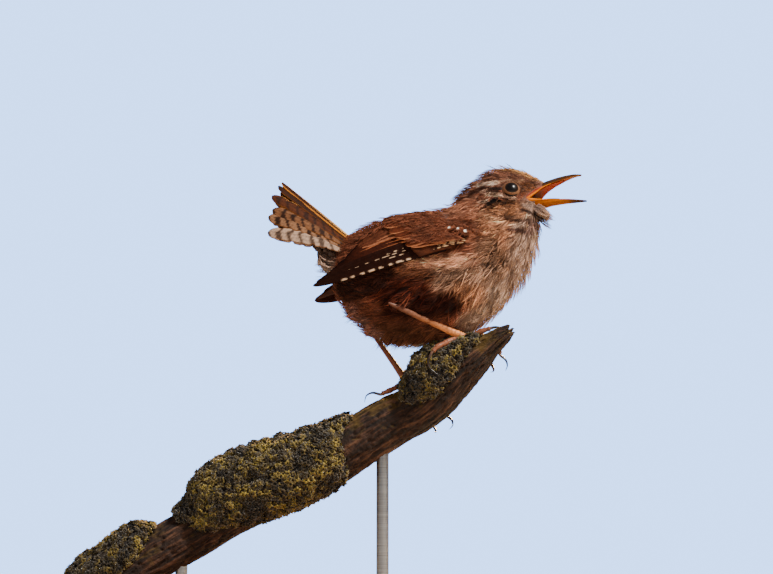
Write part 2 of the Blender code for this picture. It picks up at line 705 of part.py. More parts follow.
def make_wing(name, side, body_room, plumage):
    rings = []
    count = 11
    for i in range(count):
        at = (len(WING) - 1) * i / (count - 1)
        x, low, high, _ = smooth_rows(WING, at)
        inset = 0.5 * (high - low) * 0.12
        low, high = low + inset, high - inset
        fill = 0.2 + 1.5 * ease(x, 21, 31)
        outer = [wing_point(side, x, low + (high - low) * k / 4, fill) for k in range(5)]
        inner = [p - Vector((0, side * min(3.2, 0.8 + 0.5 * (i + 1)), 0)) for p in reversed(outer)]
        rings.append(outer + inner)
    pieces = [loft("wing_core", rings)]
    for number, root_a, root_b, tip_a, tip_b, half, lift_a, lift_b, bow in WING_FEATHERS:
        for k in range(number):
            part = k / max(number - 1, 1)
            root, tip = between(root_a, root_b, part), between(tip_a, tip_b, part)
            lift = lift_a + (lift_b - lift_a) * part
            pieces.append(wing_vane(side, root, tip, half, lift, bow, 5 if root[0] - tip[0] > 14 else 4))
    wing = fuse(name, pieces, plumage)
    return cut(wing, [body_room], keep_cutters=True)


def perch_at(x):
    """Axis point, direction, upward and sideways directions, and wood radius at one x of the perch."""
    at = row_of_x(PERCH, x)
    row = smooth_rows(PERCH, at)
    near, far = smooth_rows(PERCH, max(at - 0.05, 0)), smooth_rows(PERCH, min(at + 0.05, len(PERCH) - 1))
    along = Vector(far[:3] - near[:3]).normalized()
    up = (Vector((0, 0, 1)) - along * along.z).normalized()
    return Vector(row[:3]), along, up, along.cross(up), row[3]


def on_perch(x, angle, lift):
    """A point above the wood's surface. The angle is 0 on top and grows towards the viewer, in degrees."""
    axis, _, up, side, radius = perch_at(x)
    turn = math.radians(angle)
    return axis + (up * math.cos(turn) + side * math.sin(turn)) * (radius + lift)


def claw(name, toe_path, points, dark):
    """A curved claw that starts at the end of its toe and tapers to its tip."""
    heading = (toe_path[-1] - toe_path[-2]).normalized()
    start = toe_path[-1] + heading * (GAP + 0.05)
    path = [start] + curve_through([start + heading * 0.5] + [Vector(p) for p in points], 5)
    radii = [CLAW_RADIUS * (1 - 0.8 * (i / 5) ** 1.4) for i in range(6)]
    return tube(name, path, radii, 6, up=(0, 1, 0.1), finish=dark), path


def make_foot(side, ankle, toes, skin, dark):
    """Four toes with padded joints, fused at the ankle, and their claws as pieces of their own."""
    pieces = [ball("palm", ankle, (1.25, 1.15, 1.0), 6, 8)]
    rooms = [ball("room", ankle, (1.25 + GAP, 1.15 + GAP, 1.0 + GAP), 6, 8)]
    for toe, (joints, claw_points) in toes.items():
        count = 2 * len(joints) + 2
        path = curve_through([ankle] + [Vector(p) for p in joints], count)
        radii = []
        for i in range(count):
            part = i / (count - 1)
            pad = 0.1 * math.cos(2 * math.pi * part * len(joints))
            radii.append(TOE_RADIUS * (1.12 - 0.25 * part + pad))
        pieces.append(tube("toe", path, radii, 7))
        rooms.append(tube("room", path, [r + GAP for r in radii], 7))
        _, claw_path = claw(f"claw_{side}_{toe}", path, claw_points, dark)
        rooms.append(tube("room", claw_path, [CLAW_RADIUS + GAP] * 6, 6, up=(0, 1, 0.1)))
    return fuse(f"foot_{side}", pieces, skin), rooms


def make_leg(side, hip, heel, ankle, body_room, plumage, skin):
    """The feathered thigh down to the heel, and the bare shank down to the foot."""
    drop = (ankle - heel).normalized()
    thigh_path = curve_through([hip, hip.lerp(heel, 0.55) + Vector((0.3, heel.y * 0.06, 0)), heel], 7)
    thigh = tube(f"thigh_{side}", thigh_path, (4.4, 4.5, 4.1, 3.4, 2.7, 2.1, 1.45), 14, finish=plumage)
    start, end = heel + drop * (GAP + 0.2), ankle - drop * (1.2 + GAP)
    path = [start + (end - start) * i / 8 for i in range(9)]
    radii = [1.05, 0.92, 0.82, SHANK, SHANK, SHANK, 0.86, 0.96, 1.06]
    shank = tube(f"leg_{side}", path, radii, 10, flat=1.12, finish=skin)
    room = tube("shank_room", path, [r + GAP for r in radii], 10, flat=1.12)
    cut(thigh, [body_room, room], keep_cutters=True)
    return shank, thigh, room


def clumps(seed, x_from, x_to, step):
    """Middles of rounded moss clumps, as x and angle, jittered on a grid."""
    random = np.random.default_rng(seed)
    found = []
    for row, x in enumerate(np.arange(x_from, x_to, step * 0.85)):
        for angle in np.arange(-180 + (row % 2) * step * 4, 180, step * 8):
            shift = random.uniform(-0.28, 0.28, 2)
            found.append((x + shift[0] * step, angle + shift[1] * step * 8))
    return np.array(found)


def moss(name, seed, table, rows, columns, finish):
    """A pad of moss or lichen: rounded clumps over an underside that fits the bark."""
    step = 3.4
    spots = clumps(seed, table[0][0], table[-1][0], step)
    outer, inner = [], []
    for i in range(rows + 1):
        x = table[0][0] + (table[-1][0] - table[0][0]) * i / rows
        _, high, low_angle, high_angle = smooth_rows(table, row_of_x(table, x))
        for j in range(columns + 1):
            b = j / columns
            angle = low_angle + (high_angle - low_angle) * b
            radius = perch_at(x)[4] + high * 0.6
            flat = np.hypot(spots[:, 0] - x, np.radians(spots[:, 1] - angle) * radius)
            dome = math.sqrt(max(0.0, 1 - (flat.min() / (step * 0.8)) ** 2))
            fade = math.sin(math.pi * b) ** 0.5 * (0.68 + 0.32 * math.cos(math.radians(angle)))
            outer.append(on_perch(x, angle, GAP + 0.45 + max(high, 0.2) * fade * (0.72 + 0.34 * dome)))
            inner.append(on_perch(x, angle, GAP + 0.02))
    wide = columns + 1
    offset = len(outer)
    faces = []
    for i in range(rows):
        for j in range(columns):
            a, b, c, d = i * wide + j, i * wide + j + 1, (i + 1) * wide + j + 1, (i + 1) * wide + j
            faces += [(a, b, c), (a, c, d), (offset + a, offset + c, offset + b), (offset + a, offset + d, offset + c)]
    rim = list(range(wide))
    rim += [i * wide + columns for i in range(1, rows + 1)]
    rim += [rows * wide + j for j in range(columns - 1, -1, -1)]
    rim += [i * wide for i in range(rows - 1, 0, -1)]
    for k, a in enumerate(rim):
        b = rim[(k + 1) % len(rim)]
        faces += [(a, b, offset + b), (a, offset + b, offset + a)]
    return closed_object(name, outer + inner, faces, finish)


def make_perch(bark):
    rings = []
    first, last = PERCH[0][0], PERCH[-1][0]
    for i in range(PERCH_RINGS):
        part = i / (PERCH_RINGS - 1)
        x = first + (last - first) * part
        axis, along, up, side, radius = perch_at(x)
        ring = []
        for j in range(PERCH_SIDES):
            turn = 2 * math.pi * j / PERCH_SIDES
            ridge = noise.noise(Vector((x * 0.09, 3.1 * math.cos(turn), 3.1 * math.sin(turn))))
            ring.append(axis + (up * math.cos(turn) + side * math.sin(turn)) * (radius - 0.25 + 0.45 * min(ridge, 0.3)))
        rings.append(ring)
    splinters = [noise.noise(Vector((9.0, 2.4 * math.cos(j), 2.4 * math.sin(j)))) for j in range(PERCH_SIDES)]
    along = perch_at(last)[1]
    rings[-1] = [p + along * (0.1 + 1.3 * s) for p, s in zip(rings[-1], splinters)]
    return loft("perch_branch", rings, bark)


def make_stand(perch, wood, steel):
    """An oval base and two rods that end inside drilled holes in the perch."""
    base = upright("stand_base", 0, 0, -RAISE, BASE_HIGH - RAISE, 1.0, 48, wood)
    base.data.transform(Matrix.Diagonal((BASE_LONG, BASE_WIDE, 1.0, 1.0)))
    edge = base.modifiers.new("edge", "BEVEL")
    edge.width = 1.6 * MM
    edge.segments = 2
    edge.limit_method = "ANGLE"
    holes = []
    for name, x in ROD_XS.items():
        axis, _, _, _, radius = perch_at(x)
        top = axis.z - radius + ROD_SINK
        upright(f"stand_rod_{name}", axis.x, axis.y, BASE_HIGH - RAISE + GAP, top, ROD_RADIUS, 18, steel)
        holes.append(upright("hole", axis.x, axis.y, axis.z - radius - 6, top + GAP, ROD_RADIUS + GAP, 18))
    cut(perch, holes)


def main():
    for obj in list(bpy.data.objects):
        bpy.data.objects.remove(obj)
    back = material("rufous_plumage", (0.19, 0.085, 0.045), 0.85)
    buff = material("buff_plumage", (0.36, 0.25, 0.17), 0.9)
    crown = material("crown_plumage", (0.22, 0.13, 0.08), 0.85)
    flight = material("barred_plumage", (0.15, 0.06, 0.03), 0.7)
    horn = material("bill_horn", (0.62, 0.3, 0.06), 0.4)
    skin = material("leg_skin", (0.5, 0.24, 0.14), 0.5)
    dark = material("dark_horn", (0.03, 0.02, 0.015), 0.25)
    iris = material("eye_dark", (0.012, 0.008, 0.006), 0.08)
    bark = material("bark", (0.14, 0.09, 0.07), 0.9)
    green = material("moss_green", (0.13, 0.11, 0.02), 0.95)
    wood = material("oiled_wood", (0.1, 0.05, 0.025), 0.45)
    steel = material("brushed_steel", (0.6, 0.6, 0.6), 0.35, 1.0)

    whole = body_solid("whole")
    body_room = body_solid("body_room", GAP)
    make_head(whole, body_room, crown, horn, iris)
    part_of_body(whole, "neck", NECK_CUT, HEAD_CUT, buff)
    torso = part_of_body(whole, "torso", None, NECK_CUT, buff)
    bpy.data.objects.remove(whole)
    make_tail(body_room, flight)
    for name, side in (("wing_right", -1), ("wing_left", 1)):
        make_wing(name, side, body_room, back)

    perch = make_perch(bark)
    make_stand(perch, wood, steel)
    leg_r, _, room_r = make_leg("right", HIP_R, HEEL_R, ANKLE_R, body_room, buff, skin)
    leg_l, _, room_l = make_leg("left", HIP_L, HEEL_L, ANKLE_L, body_room, buff, skin)
    _, rooms_r = make_foot("right", ANKLE_R, TOES_R, skin, dark)
    _, rooms_l = make_foot("left", ANKLE_L, TOES_L, skin, dark)
    cut(leg_r, rooms_r, keep_cutters=True)
    cut(leg_l, rooms_l, keep_cutters=True)
    toes = rooms_r + rooms_l
    cut(torso, [room_r, room_l] + rooms_r, keep_cutters=True)
    cut(perch, toes, keep_cutters=True)
    cut(moss("perch_moss_top", 3, MOSS_TOP, 8, 8, green), toes + [room_r, room_l, body_room], keep_cutters=True)
    moss("perch_moss_bulge", 5, MOSS_BULGE, 17, 10, green)
    moss("perch_moss_low", 8, MOSS_LOW, 8, 6, green)
    for helper in toes + [body_room, room_r, room_l]:
        bpy.data.objects.remove(helper)
    root = bpy.data.objects.new("wren_on_perch", None)
    bpy.context.scene.collection.objects.link(root)
    root.location.z = RAISE * MM
    for obj in bpy.data.objects:
        if obj.type != "MESH":
            continue
        obj.parent = root
        finish = obj.data.materials[0].copy()
        finish.name = f"{obj.name}_{obj.data.materials[0].name}"
        obj.data.materials.clear()
        obj.data.materials.append(finish)
        obj.data.shade_smooth()
        obj.data.set_sharp_from_angle(angle=math.radians(40))


main()
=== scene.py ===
"""A life-size Eurasian wren, singing on a cut length of mossy branch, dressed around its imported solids.

The bird faces +X and its right side faces -Y. Points are laid out in millimetres, from the level
at which the branch was drawn. That level lies RAISE above the underside of the stand's base, and
new_piece() lifts every point by it and turns it into metres.
"""
import math

import bmesh
import bpy
import numpy as np
from mathutils import Matrix, Vector, noise
from mathutils.bvhtree import BVHTree
from mathutils.kdtree import KDTree


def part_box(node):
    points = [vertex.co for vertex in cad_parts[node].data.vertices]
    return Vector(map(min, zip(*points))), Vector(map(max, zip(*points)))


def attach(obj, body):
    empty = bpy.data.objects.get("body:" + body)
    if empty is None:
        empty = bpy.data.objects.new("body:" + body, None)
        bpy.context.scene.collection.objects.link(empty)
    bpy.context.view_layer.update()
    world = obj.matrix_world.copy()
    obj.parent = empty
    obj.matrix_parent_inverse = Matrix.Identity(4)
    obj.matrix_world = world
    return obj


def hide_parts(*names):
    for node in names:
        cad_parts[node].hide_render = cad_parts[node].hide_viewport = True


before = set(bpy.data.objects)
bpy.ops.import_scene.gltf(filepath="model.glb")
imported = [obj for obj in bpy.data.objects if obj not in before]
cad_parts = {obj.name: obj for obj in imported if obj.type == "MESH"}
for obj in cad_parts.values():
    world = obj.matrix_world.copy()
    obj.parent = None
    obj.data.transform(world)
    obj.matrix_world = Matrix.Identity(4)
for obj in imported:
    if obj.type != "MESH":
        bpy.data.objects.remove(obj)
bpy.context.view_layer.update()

# The viewpoint: a long lens level with the perch, far enough away to show the bird without distortion,
# and tilted up a little so that only the pale sky of the studio lies behind it.
MM = 0.001
RAISE = 10.0
CAMERA_AT = (14.868, -550.0, 18.0)
CAMERA_TILT = 8.68
CAMERA_LENS = 98.46

camera = bpy.data.objects.new("camera", bpy.data.cameras.new("camera"))
camera.data.lens = CAMERA_LENS
camera.data.sensor_width = 36.0
camera.data.clip_start = 0.02
camera.data.clip_end = 20.0
camera.location = Vector(CAMERA_AT) * MM
camera.rotation_euler = (math.radians(90 + CAMERA_TILT), 0, 0)
bpy.context.scene.collection.objects.link(camera)
bpy.context.scene.camera = camera

# The studio: a plain pale floor under a pale sky, one broad soft lamp from ahead and above on the
# bird's right, a low one behind it that edges the feathers, and a weak fill from the left.
FLOOR_RADIUS = 2.2
FLOOR_COLOUR = (0.5, 0.51, 0.52, 1.0)
SKY_COLOUR = (1.17, 2.08, 4.1, 1.0)
SKY_LIGHT = (0.13, 0.14, 0.16, 1.0)
LAMPS = {
    "key": ((400.0, -330.0, 600.0), 75.0, 11.0, (1.0, 0.94, 0.86)),
    "rim": ((230.0, 440.0, 420.0), 110.0, 15.0, (1.0, 0.56, 0.16)),
    "fill": ((-380.0, -420.0, 240.0), 320.0, 0.9, (0.95, 0.96, 1.0)),
}
LAMP_AIM = Vector((15.0, 0.0, 100.0)) * MM


def add_node(tree, kind, settings=None, inputs=None):
    """A shader or geometry node with its settings, and its inputs given as values or as sockets."""
    node = tree.nodes.new(kind)
    for name, value in (settings or {}).items():
        setattr(node, name, value)
    for key, value in (inputs or {}).items():
        if isinstance(value, bpy.types.NodeSocket):
            tree.links.new(value, node.inputs[key])
        else:
            node.inputs[key].default_value = value
    return node


def new_finish(name, roughness=0.6, **sockets):
    """A new material with its node tree and its main shader, whose plain values are set by name."""
    made = bpy.data.materials.new(name)
    made.use_nodes = True
    shader = made.node_tree.nodes["Principled BSDF"]
    shader.inputs["Roughness"].default_value = roughness
    for key, value in sockets.items():
        shader.inputs[key.replace("_", " ")].default_value = value
    return made, made.node_tree, shader


floor_mesh = bmesh.new()
bmesh.ops.create_circle(floor_mesh, cap_ends=True, segments=128, radius=FLOOR_RADIUS)
floor = bpy.data.objects.new("floor", bpy.data.meshes.new("floor"))
floor_mesh.to_mesh(floor.data)
floor_mesh.free()
floor.location.z = -0.0005
bpy.context.scene.collection.objects.link(floor)
floor_finish, floor_tree, floor_shader = new_finish("pale_floor", 0.8)
floor_place = add_node(floor_tree, "ShaderNodeTexCoord")
floor_grain = add_node(floor_tree, "ShaderNodeTexNoise", None, {"Vector": floor_place.outputs["Object"], "Scale": 9.0})
floor_tone = add_node(
    floor_tree,
    "ShaderNodeMix",
    {"data_type": "RGBA"},
    {0: floor_grain.outputs["Fac"], 6: FLOOR_COLOUR, 7: tuple(0.94 * c for c in FLOOR_COLOUR[:3]) + (1.0,)},
)
floor_tree.links.new(floor_tone.outputs[2], floor_shader.inputs["Base Color"])
floor.data.materials.append(floor_finish)

world = bpy.data.worlds.new("studio_sky")
bpy.context.scene.world = world
world.use_nodes = True
sky = world.node_tree.nodes["Background"]
seen = add_node(world.node_tree, "ShaderNodeLightPath")
shown = add_node(
    world.node_tree, "ShaderNodeMix", {"data_type": "RGBA"},
    {0: seen.outputs["Is Camera Ray"], 6: SKY_LIGHT, 7: SKY_COLOUR},
)
world.node_tree.links.new(shown.outputs[2], sky.inputs["Color"])

for name, (place, wide, power, colour) in LAMPS.items():
    lamp = bpy.data.lights.new(name, "AREA")
    lamp.size = wide * MM
    lamp.energy = power
    lamp.color = colour
    lamp_object = bpy.data.objects.new(name, lamp)
    lamp_object.location = Vector(place) * MM
    lamp_object.rotation_euler = (LAMP_AIM - lamp_object.location).to_track_quat("-Z", "Y").to_euler()
    lamp_object.visible_glossy = name != "fill"
    bpy.context.scene.collection.objects.link(lamp_object)

# The skin: one closed surface under the plumage from the rump to the bill, with both thighs. It lies
# under the feathered outline of the solids by the depth of the plumage, and is open at the mouth.
# A row of BODY is a cross-section: back point (x, z), belly point (x, z) and half width.
BODY = np.array([
    (2.6, 98.7, 2.1, 94.9, 1.6),
    (3.0, 102.6, 2.6, 89.0, 5.4),
    (5.2, 105.9, 5.9, 83.4, 8.2),
    (9.2, 108.6, 10.7, 78.8, 10.4),
    (15.3, 110.8, 17.7, 76.3, 12.3),
    (21.6, 111.9, 26.3, 76.2, 13.4),
    (26.9, 112.7, 35.5, 78.6, 13.8),
    (30.9, 113.6, 43.9, 84.5, 13.4),
    (32.5, 115.2, 50.5, 93.2, 12.2),
    (34.1, 116.8, 54.3, 101.2, 10.7),
    (36.2, 118.7, 55.7, 106.6, 9.5),
    (38.9, 121.1, 55.8, 109.8, 8.5),
    (42.2, 123.0, 55.7, 111.2, 7.6),
    (46.3, 123.7, 55.9, 112.0, 6.5),
    (50.5, 123.0, 56.4, 112.5, 5.2),
    (54.2, 121.3, 57.0, 112.8, 4.0),
    (57.0, 119.7, 57.6, 113.3, 3.0),
])
PLUMAGE_DEPTH = np.array((0.5, 0.9, 1.2, 1.4, 1.5, 1.5, 1.4, 1.3, 1.2, 1.1, 1.0, 0.8, 0.7, 0.6, 0.5, 0.45, 0.3))
BELLY_TAPER = 0.24
HEAD_PIVOT = np.array((46.5, 0.0, 117.0))
HEAD_TURN, HEAD_ROLL = math.radians(18), math.radians(6)
TURN_FROM, TURN_TO = 7.8, 11.0
SKIN_RINGS, SKIN_SIDES = 170, 120
SKIN_VOXEL = 0.38
LEGS = {
    "right": ((25.0, -6.0, 94.0), (17.0, -10.9, 85.2), (34.2, -5.3, 78.3)),
    "left": ((19.0, 6.0, 91.0), (11.0, 8.3, 81.0), (20.3, 4.5, 67.2)),
}
THIGH_RADII = np.array((3.9, 4.0, 3.6, 2.9, 2.2, 1.6, 1.1))
THIGH_SHOWS = 0.3
MOUTH_WEDGE = ((6.7, -3.0), (8.6, -1.1), (10.2, 0.25), (14.0, 2.4), (14.0, -3.4), (10.5, -3.12), (6.7, -3.12))


def ease(value, low, high):
    """A smooth step from 0 at the low value to 1 at the high one."""
    part = np.clip((np.asarray(value, float) - low) / (high - low), 0.0, 1.0)
    return part * part * (3 - 2 * part)


def smooth_rows(rows, at):
    """Rows of a table read between its lines, at 0 for the first and 1 for the next, by a smooth curve."""
    rows = np.asarray(rows, float)
    at = np.clip(np.asarray(at, float), 0, len(rows) - 1)
    low = np.minimum(at.astype(int), len(rows) - 2)
    part = at - low
    if rows.ndim > 1:
        part = part[..., None]
    before, after = rows[np.maximum(low - 1, 0)], rows[np.minimum(low + 2, len(rows) - 1)]
    start, end = rows[low], rows[low + 1]
    squared, cubed = part * part, part ** 3
    return (
        start * (2 * cubed - 3 * squared + 1)
        + (end - before) / 2 * (cubed - 2 * squared + part)
        + end * (3 * squared - 2 * cubed)
        + (after - start) / 2 * (cubed - squared)
    )


def unit(vectors):
    return vectors / np.maximum(np.linalg.norm(vectors, axis=-1, keepdims=True), 1e-9)


def head_turn(share):
    """The matrices that turn and roll the head by a share of the full amount."""
    turn, roll = np.asarray(share) * -HEAD_TURN, np.asarray(share) * -HEAD_ROLL
    ct, st, cr, sr = np.cos(turn), np.sin(turn), np.cos(roll), np.sin(roll)
    zero = np.zeros_like(ct)
    return np.stack([
        np.stack([ct, -st * cr, st * sr], -1),
        np.stack([st, ct * cr, -ct * sr], -1),
        np.stack([zero, sr, cr], -1),
    ], -2)


def from_head(points):
    """Points given in the head's own axes, from its pivot, in the layout."""
    return np.asarray(points, float) @ head_turn(1.0).T + HEAD_PIVOT


def to_head(points):
    return (np.asarray(points, float) - HEAD_PIVOT) @ head_turn(1.0)


def body_surface(at, angle, inset):
    """Points on the feathered body, or under it by an inset. The angle is 90 degrees at the back."""
    at, angle, inset = np.broadcast_arrays(np.asarray(at, float), angle, inset)
    row = smooth_rows(BODY, at)
    back = np.stack([row[..., 0], 0 * at, row[..., 1]], -1)
    belly = np.stack([row[..., 2], 0 * at, row[..., 3]], -1)
    middle, reach = (back + belly) / 2, (back - belly) / 2
    tall = np.linalg.norm(reach, axis=-1)
    low = np.maximum(0.0, -np.sin(angle))
    taper = BELLY_TAPER * (1 - ease(at, 7.0, 9.5))
    wide = np.maximum(row[..., 4] - inset, 0.3) * np.cos(angle) * (1 - taper * low * low)
    upright = np.maximum(tall - inset, 0.3) * np.sin(angle)
    points = middle + reach / tall[..., None] * upright[..., None]
    points = points + wide[..., None] * np.array((0.0, 1.0, 0.0))
    turn = head_turn(ease(at, TURN_FROM, TURN_TO))
    return np.einsum("...ij,...j->...i", turn, points - HEAD_PIVOT) + HEAD_PIVOT


def tube_rings(path, radii, sides, up=(0.0, 0.0, 1.0), flat=1.0):
    """Rings of points round a path, turning as little as they can. flat is their height over width."""
    path = np.asarray(path, float)
    radii = np.broadcast_to(radii, len(path))
    tangents = unit(np.gradient(path, axis=0))
    normal = np.array(up, float)
    angles = np.linspace(0, 2 * math.pi, sides, endpoint=False)
    rings = []
    for point, tangent, radius in zip(path, tangents, radii):
        normal = unit(normal - tangent * normal.dot(tangent))
        side = np.cross(tangent, normal)
        rings.append(point + np.outer(np.cos(angles), side) * radius + np.outer(np.sin(angles), normal) * radius * flat)
    return np.array(rings)


def loft_faces(rings, sides, start=0):
    """Four-sided faces between rings of points, numbered from start."""
    i, j = np.meshgrid(np.arange(rings - 1), np.arange(sides), indexing="ij")
    a, b = i * sides + j, i * sides + (j + 1) % sides
    return (np.stack([a, b, b + sides, a + sides], -1) + start).reshape(-1, 4)


def new_piece(name, points, faces, finish=None, smooth=True):
    """An object from points in layout millimetres and lists of faces, lifted to the model's own level."""
    mesh = bpy.data.meshes.new(name)
    lifted = (np.asarray(points, float).reshape(-1, 3) + (0, 0, RAISE)) * MM
    mesh.from_pydata(lifted.tolist(), [], [list(map(int, face)) for face in faces])
    if smooth:
        mesh.shade_smooth()
    if finish:
        mesh.materials.append(finish)
    obj = bpy.data.objects.new(name, mesh)
    bpy.context.scene.collection.objects.link(obj)
    return obj


def closed_loft(name, rings, finish=None, smooth=True):
    """A closed piece through rings of points, with its faces turned outwards."""
    count, sides = rings.shape[:2]
    points = np.vstack([rings.reshape(-1, 3), rings[0].mean(0), rings[-1].mean(0)])
    faces = loft_faces(count, sides).tolist()
    for ring, tip in ((0, count * sides), (count - 1, count * sides + 1)):
        first = ring * sides
        faces += [(first + j, first + (j + 1) % sides, tip) for j in range(sides)]
    obj = new_piece(name, points, faces, finish, smooth)
    face_outwards(obj)
    return obj


def face_outwards(obj):
    shape = bmesh.new()
    shape.from_mesh(obj.data)
    bmesh.ops.recalc_face_normals(shape, faces=shape.faces)
    if shape.calc_volume(signed=True) < 0:
        bmesh.ops.reverse_faces(shape, faces=shape.faces)
    shape.to_mesh(obj.data)
    shape.free()


def apply_modifiers(obj):
    """Turns an object's live modifiers into its mesh."""
    bpy.context.view_layer.update()
    made = bpy.data.meshes.new_from_object(obj.evaluated_get(bpy.context.evaluated_depsgraph_get()))
    obj.modifiers.clear()
    obj.data = made


def layout_points(obj):
    """An object's points back in layout millimetres."""
    flat = np.empty(len(obj.data.vertices) * 3)
    obj.data.vertices.foreach_get("co", flat)
    return flat.reshape(-1, 3) / MM - (0, 0, RAISE)


def tree_from(*objects):
    """A search tree of the objects' faces, in layout millimetres."""
    points, faces, base = [], [], 0
    for obj in objects:
        own = layout_points(obj)
        points += own.tolist()
        faces += [[base + v for v in face.vertices] for face in obj.data.polygons]
        base += len(own)
    return BVHTree.FromPolygons(points, faces)


def curve_through(points, count):
    """Points at even steps on a smooth curve through the given ones."""
    return smooth_rows(np.array(points, float), np.linspace(0, len(points) - 1, count))


skin_at = np.linspace(0, len(BODY) - 1, SKIN_RINGS)
skin_angles = (np.arange(SKIN_SIDES) + 0.5) / SKIN_SIDES * 2 * math.pi
skin_inset = smooth_rows(PLUMAGE_DEPTH, skin_at)[:, None]
skin_grid = body_surface(skin_at[:, None], skin_angles[None, :], skin_inset)
skin = closed_loft("skin", skin_grid)
thigh_paths = {}
for side, (hip, heel, ankle) in LEGS.items():
    hip, heel, ankle = map(np.array, (hip, heel, ankle))
    knee = hip + (heel - hip) * 0.55 + (0.3, heel[1] * 0.06, 0)
    thigh_paths[side] = curve_through((hip, knee, heel + (heel - hip) * 0.02), 24)
    radii = smooth_rows(THIGH_RADII, np.linspace(0, len(THIGH_RADII) - 1, 24))
    thigh = closed_loft("thigh", tube_rings(thigh_paths[side], radii, 28))
    union = skin.modifiers.new("thigh", "BOOLEAN")
    union.operation = "UNION"
    union.object = thigh
    apply_modifiers(skin)
    bpy.data.objects.remove(thigh)
remesh = skin.modifiers.new("one_surface", "REMESH")
remesh.mode = "VOXEL"
remesh.voxel_size = SKIN_VOXEL * MM
relax = skin.modifiers.new("relax", "SMOOTH")
relax.iterations = 3
apply_modifiers(skin)
mouth_rings = np.array([from_head([(x, y, z) for x, z in MOUTH_WEDGE]) for y in (-7.0, 7.0)])
mouth = closed_loft("mouth_space", mouth_rings)
opening = skin.modifiers.new("mouth", "BOOLEAN")
opening.operation = "DIFFERENCE"
opening.object = mouth
apply_modifiers(skin)
bpy.data.objects.remove(mouth)
skin.data.shade_smooth()
skin_tree = tree_from(skin)

# The colours of the plumage, painted by place so that skin and feathers carry the same markings. Each
# mark runs along a line between two points, given for one side as (x, distance from the middle, z),
# in the head's own axes or in the layout, and fades out over its softness.
UPPERPARTS = (0.22, 0.07, 0.036)
BODY_MARKS = {
    "neck_side": ((33.0, 7.0, 111.5), (40.0, 9.5, 110.0), 2.0, 3.0, (0.5, 0.2, 0.11), 0.9),
    "neck_low": ((37.0, 12.0, 103.0), (39.5, 12.0, 102.6), 1.4, 2.0, (0.4, 0.15, 0.08), 0.85),
    "neck": ((43.0, 10.5, 108.0), (46.0, 10.5, 102.0), 3.0, 3.5, (0.52, 0.23, 0.12), 0.95),
    "throat": ((53.0, 3.0, 107.5), (52.5, 0.0, 99.0), 5.5, 4.0, (0.5, 0.31, 0.21), 0.97),
    "breast": ((50.0, 2.0, 100.0), (46.5, 2.0, 89.0), 6.5, 4.0, (0.5, 0.31, 0.22), 0.97),
    "breast_side": ((41.0, 12.0, 99.5), (44.0, 10.0, 95.5), 2.2, 3.0, (0.25, 0.13, 0.075), 0.85),
    "flank": ((29.0, 13.0, 92.5), (41.0, 11.5, 93.0), 2.6, 3.0, (0.27, 0.15, 0.095), 0.95),
    "under_wing": ((21.0, 13.0, 96.2), (37.0, 13.0, 97.0), 1.0, 1.6, (0.72, 0.34, 0.2), 0.95),
    "belly": ((42.0, 5.0, 86.5), (38.0, 3.0, 82.5), 4.0, 4.0, (0.52, 0.33, 0.23), 0.97),
    "flank_low": ((34.0, 11.0, 89.0), (38.0, 9.0, 87.5), 2.0, 2.5, (0.25, 0.11, 0.055), 0.85),
    # Painted shade: the next six marks darken, where shade falls, the flank under the wing's edge, the lower rear
    # flank, the body behind the legs, round the heels, the rear under the tail and the lower belly.
    "flank_painted_shadow": ((15.0, 11.0, 93.4), (25.0, 13.0, 92.8), 1.6, 1.8, (0.15, 0.055, 0.027), 0.92),
    "flank_painted_shade": ((12.0, 11.0, 90.0), (23.0, 11.0, 89.0), 2.6, 2.4, (0.055, 0.01, 0.004), 0.96),
    "painted_shade_behind_legs": ((31.0, 10.0, 86.0), (16.0, 7.0, 85.5), 2.0, 3.0, (0.022, 0.004, 0.002), 0.96),
    "heel": ((17.0, 11.0, 85.5), (23.0, 8.0, 91.0), 2.2, 1.5, (0.035, 0.008, 0.004), 0.95),
    "rear_painted_shade": ((12.0, 10.0, 95.0), (3.0, 7.0, 91.0), 4.2, 2.5, (0.04, 0.012, 0.007), 0.96),
    "lower_belly_painted_shade": ((26.0, 4.0, 79.0), (14.0, 3.0, 79.5), 2.6, 3.0, (0.1, 0.038, 0.018), 0.9),
    "belly_edge": ((42.0, 1.0, 82.5), (20.0, 0.0, 76.0), 1.0, 1.5, (0.62, 0.4, 0.27), 0.85),
    "vent": ((7.0, 3.0, 85.5), (12.5, 2.0, 80.0), 1.4, 2.2, (0.24, 0.12, 0.09), 0.85),
    "under_tail": ((3.0, 0.0, 96.5), (-5.0, 0.0, 98.0), 3.2, 1.2, (0.52, 0.36, 0.27), 0.97),
}
